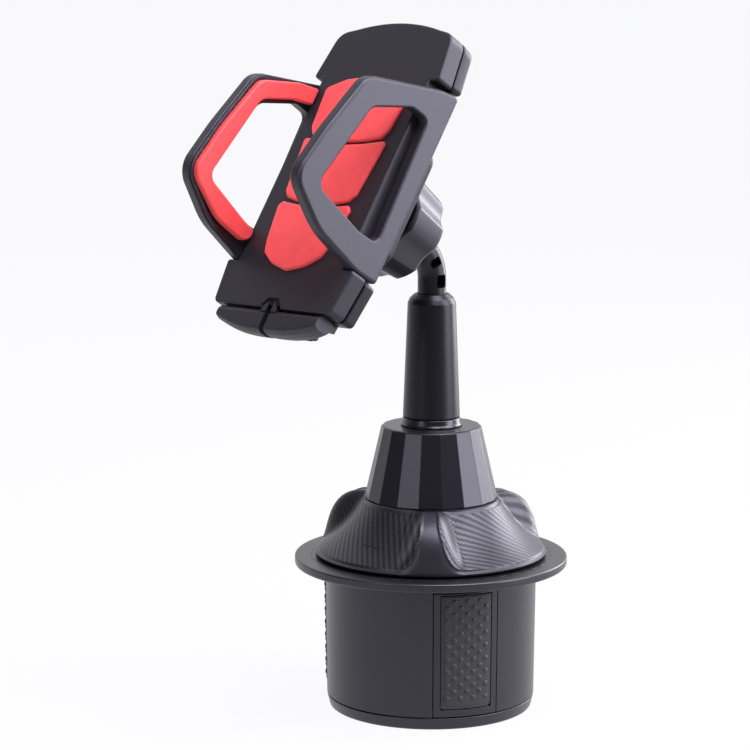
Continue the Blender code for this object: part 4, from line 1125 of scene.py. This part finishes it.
def release_slider():
    """A ribbed thumb tab under the cradle, a bar up the spine and a finger that lifts the pawl."""
    block = round_box(-54.4, -50.0, -18.5, -13.0, (1.2, 0.4, 0.4, 1.2))
    tab = along_x(soft_prism(block, -6.4, 6.4, 0.6, 0.6))
    bars = [round_box(-54.75, -54.0, z, z + 0.7, (0.2, 0.0, 0.0, 0.2), 3) for z in (-17.4, -16.1, -14.8)]
    ribs = [along_x(soft_prism(bar, -5.2, 5.2, 0.2, 0.2)) for bar in bars]
    inner = [brick(-5.4, 5.4, -50.5, -34.0, -17.4, -14.4), brick(-1.7, 1.7, -34.5, -29.9, -17.4, -14.4),
             brick(-1.7, 1.7, -31.6, -29.9, -15.0, -6.8)]
    thing = build("release_tab", together(tab, *ribs, *inner), CRADLE)
    stand_for(thing, "release", "release_slider", PLASTIC)


def nut_loop(heading):
    """Six broad grips with shallow hollows between them."""
    wave = 0.5 + 0.5 * cos(radians(6 * heading))
    grip = 1.7 * min(1.0, 1.6 * wave)
    return rounded([(12.5, -24.6, 0.0), (15.6 + grip * 0.8, -24.6, 0.5), (16.4 + grip, -25.6, 0.8),
                    (14.6 + grip, -38.9, 1.0), (13.7 + grip, -40.2, 0.8), (9.7, -40.2, 0.6),
                    (8.5, -38.4, 0.3), (9.0, -36.6, 0.0), (12.5, -36.6, 0.0)], 5)


def lock_nut():
    thing = build("grip_nut", moved(revolved(nut_loop, 288), 0.0, BALL_Y), CRADLE, crease=50.0)
    stand_for(thing, "lock_nut", "lock_nut", SATIN)


def screw(name, node, body, place, head_r, head_h, length, spot):
    """A pan-head screw with a hex socket, its head's inner side at the spot and its shank along +Z."""
    shank_r = 1.0
    loop = rounded([(0.0, length, 0.0), (shank_r, length - shank_r * 0.6, 0.2), (shank_r, 0.0, 0.0),
                    (head_r, 0.0, 0.1), (head_r, -head_h * 0.6, 0.3), (head_r * 0.75, -head_h, 0.3),
                    (0.0, -head_h, 0.0)], 4)
    socket = moved(rod(head_r * 0.48, -head_h - 0.5, -head_h * 0.4, steps=6), *spot)
    thing = build(name, moved(turned(loop, 48), *spot), place, cut=[socket], bevel=0.05)
    stand_for(thing, body, node, STEEL)


front_cover()
back_cover()
joint_housing()
for word, side in (("left", -1), ("right", 1)):
    arm(word, side)
    arm_liner(word, side)
    foot(word, side)
face_pad("top", TOP_PAD)
face_pad("middle", MIDDLE_PAD)
face_pad("lower", LOWER_PAD)
release_slider()
lock_nut()
for number, (x, y) in enumerate(casing_screw_spots(), 1):
    spot = (x, y, SCREW_SEAT - GAP)
    screw(f"rear_screw_{number}", f"casing_screw_{number}", "cradle", CRADLE, 2.6, 1.5, 6.6, spot)
for number, (x, y) in enumerate(cap_screw_spots(), 1):
    screw(f"base_screw_{number}", f"cap_screw_{number}", "base", WORLD, 2.7, 1.6, 12.0, (x, y, 2.2))


# ---- CAD nodes that stay

KEPT = {"guide_plate": PLASTIC, "spindle": SATIN, "scroll_cam": PLASTIC, "ball_socket": SATIN,
        "ball_cup": SATIN, "pinion": PLASTIC, "ball_pad": HIDDEN_RUBBER}
for name, node in frame["nodes"].items():
    finish = KEPT.get(name, STEEL)
    for slot in node.material_slots:
        slot.material = finish


# ---- camera, stage and light

CAMERA_AZIMUTH = 49.95
CAMERA_ELEVATION = 9.635
CAMERA_ROLL = 0.057
CAMERA_DISTANCE = 1.0
CAMERA_AIM = (-0.01048, -0.01585, 0.11317)
FRONT = (0.75, -0.66, 0.0)  # towards the camera, level
SOFTBOX_TINT = (1.0, 0.98, 1.06)


def add_camera():
    """Azimuth 0 looks along +Y, and the elevation and roll are in degrees too."""
    turn = Matrix.Rotation(radians(CAMERA_AZIMUTH), 4, "Z")
    dip = Matrix.Rotation(radians(90.0 - CAMERA_ELEVATION), 4, "X")
    roll = Matrix.Rotation(radians(CAMERA_ROLL), 4, "Z")
    back = Matrix.Translation((0.0, 0.0, CAMERA_DISTANCE))
    camera = add_object("camera", bpy.data.cameras.new("camera"))
    camera.data.lens = 144.0
    camera.data.sensor_width = 36.0
    camera.data.clip_start = 0.05
    camera.matrix_world = Matrix.Translation(CAMERA_AIM) @ turn @ dip @ roll @ back
    bpy.context.scene.camera = camera


def add_light(name, azimuth, height, distance, size, power):
    """A softbox at a view azimuth in degrees that points at the middle of the object."""
    light = bpy.data.lights.new(name, "AREA")
    light.shape = "RECTANGLE"
    light.size, light.size_y = size
    light.energy = power
    light.color = SOFTBOX_TINT
    lamp = add_object(name, light)
    a = radians(azimuth)
    lamp.location = (distance * sin(a), -distance * cos(a), height)
    aim = Vector((0.0, 0.0, 0.12)) - Vector(lamp.location)
    lamp.rotation_euler = aim.to_track_quat("-Z", "Y").to_euler()


def floor():
    """A lit white table, which falls off into shade some way in front of the object."""
    g = Graph(bpy.data.materials.new("white_floor"))
    g.set("Base Color", (0.03, 0.03, 0.03, 1.0))
    g.set("Roughness", 1.0)
    g.set("Specular IOR Level", 0.0)
    share = g.ranged(g.distance_along(FRONT), 0.0, 1.0, 0.22, 0.55)
    g.set("Emission Color", g.blend(share, (0.935, 0.935, 0.952), (0.22, 0.22, 0.23)))
    g.set("Emission Strength", 1.0)
    mesh = bpy.data.meshes.new("floor")
    corners = [(x, y, 0.0) for x, y in box_outline(-6.0, 6.0, -6.0, 6.0)]
    mesh.from_pydata(corners, [], [(0, 1, 2, 3)])
    mesh.materials.append(g.owner)
    add_object("floor", mesh)


def studio_world():
    """White behind the object and darker in front of it, fixed in the world."""
    world = bpy.data.worlds.new("studio")
    bpy.context.scene.world = world
    g = Graph(world, "Background", "Generated")
    share = g.ranged(g.distance_along(FRONT), 0.0, 1.0, -0.5, -0.24)
    g.set("Color", g.blend(share, (0.955, 0.955, 0.972), (0.07, 0.07, 0.085)))


add_camera()
floor()
studio_world()
add_light("key_softbox", 128.0, 0.45, 0.9, (0.5, 0.9), 11.5)
add_light("front_softbox", 8.0, 0.5, 1.0, (0.25, 0.7), 2.5)
add_light("top_softbox", 95.0, 1.1, 0.42, (0.95, 0.9), 22.0)
add_light("rim_softbox", 178.0, 0.35, 0.9, (0.45, 0.8), 9.0)
bpy.context.scene.view_settings.view_transform = "Standard"
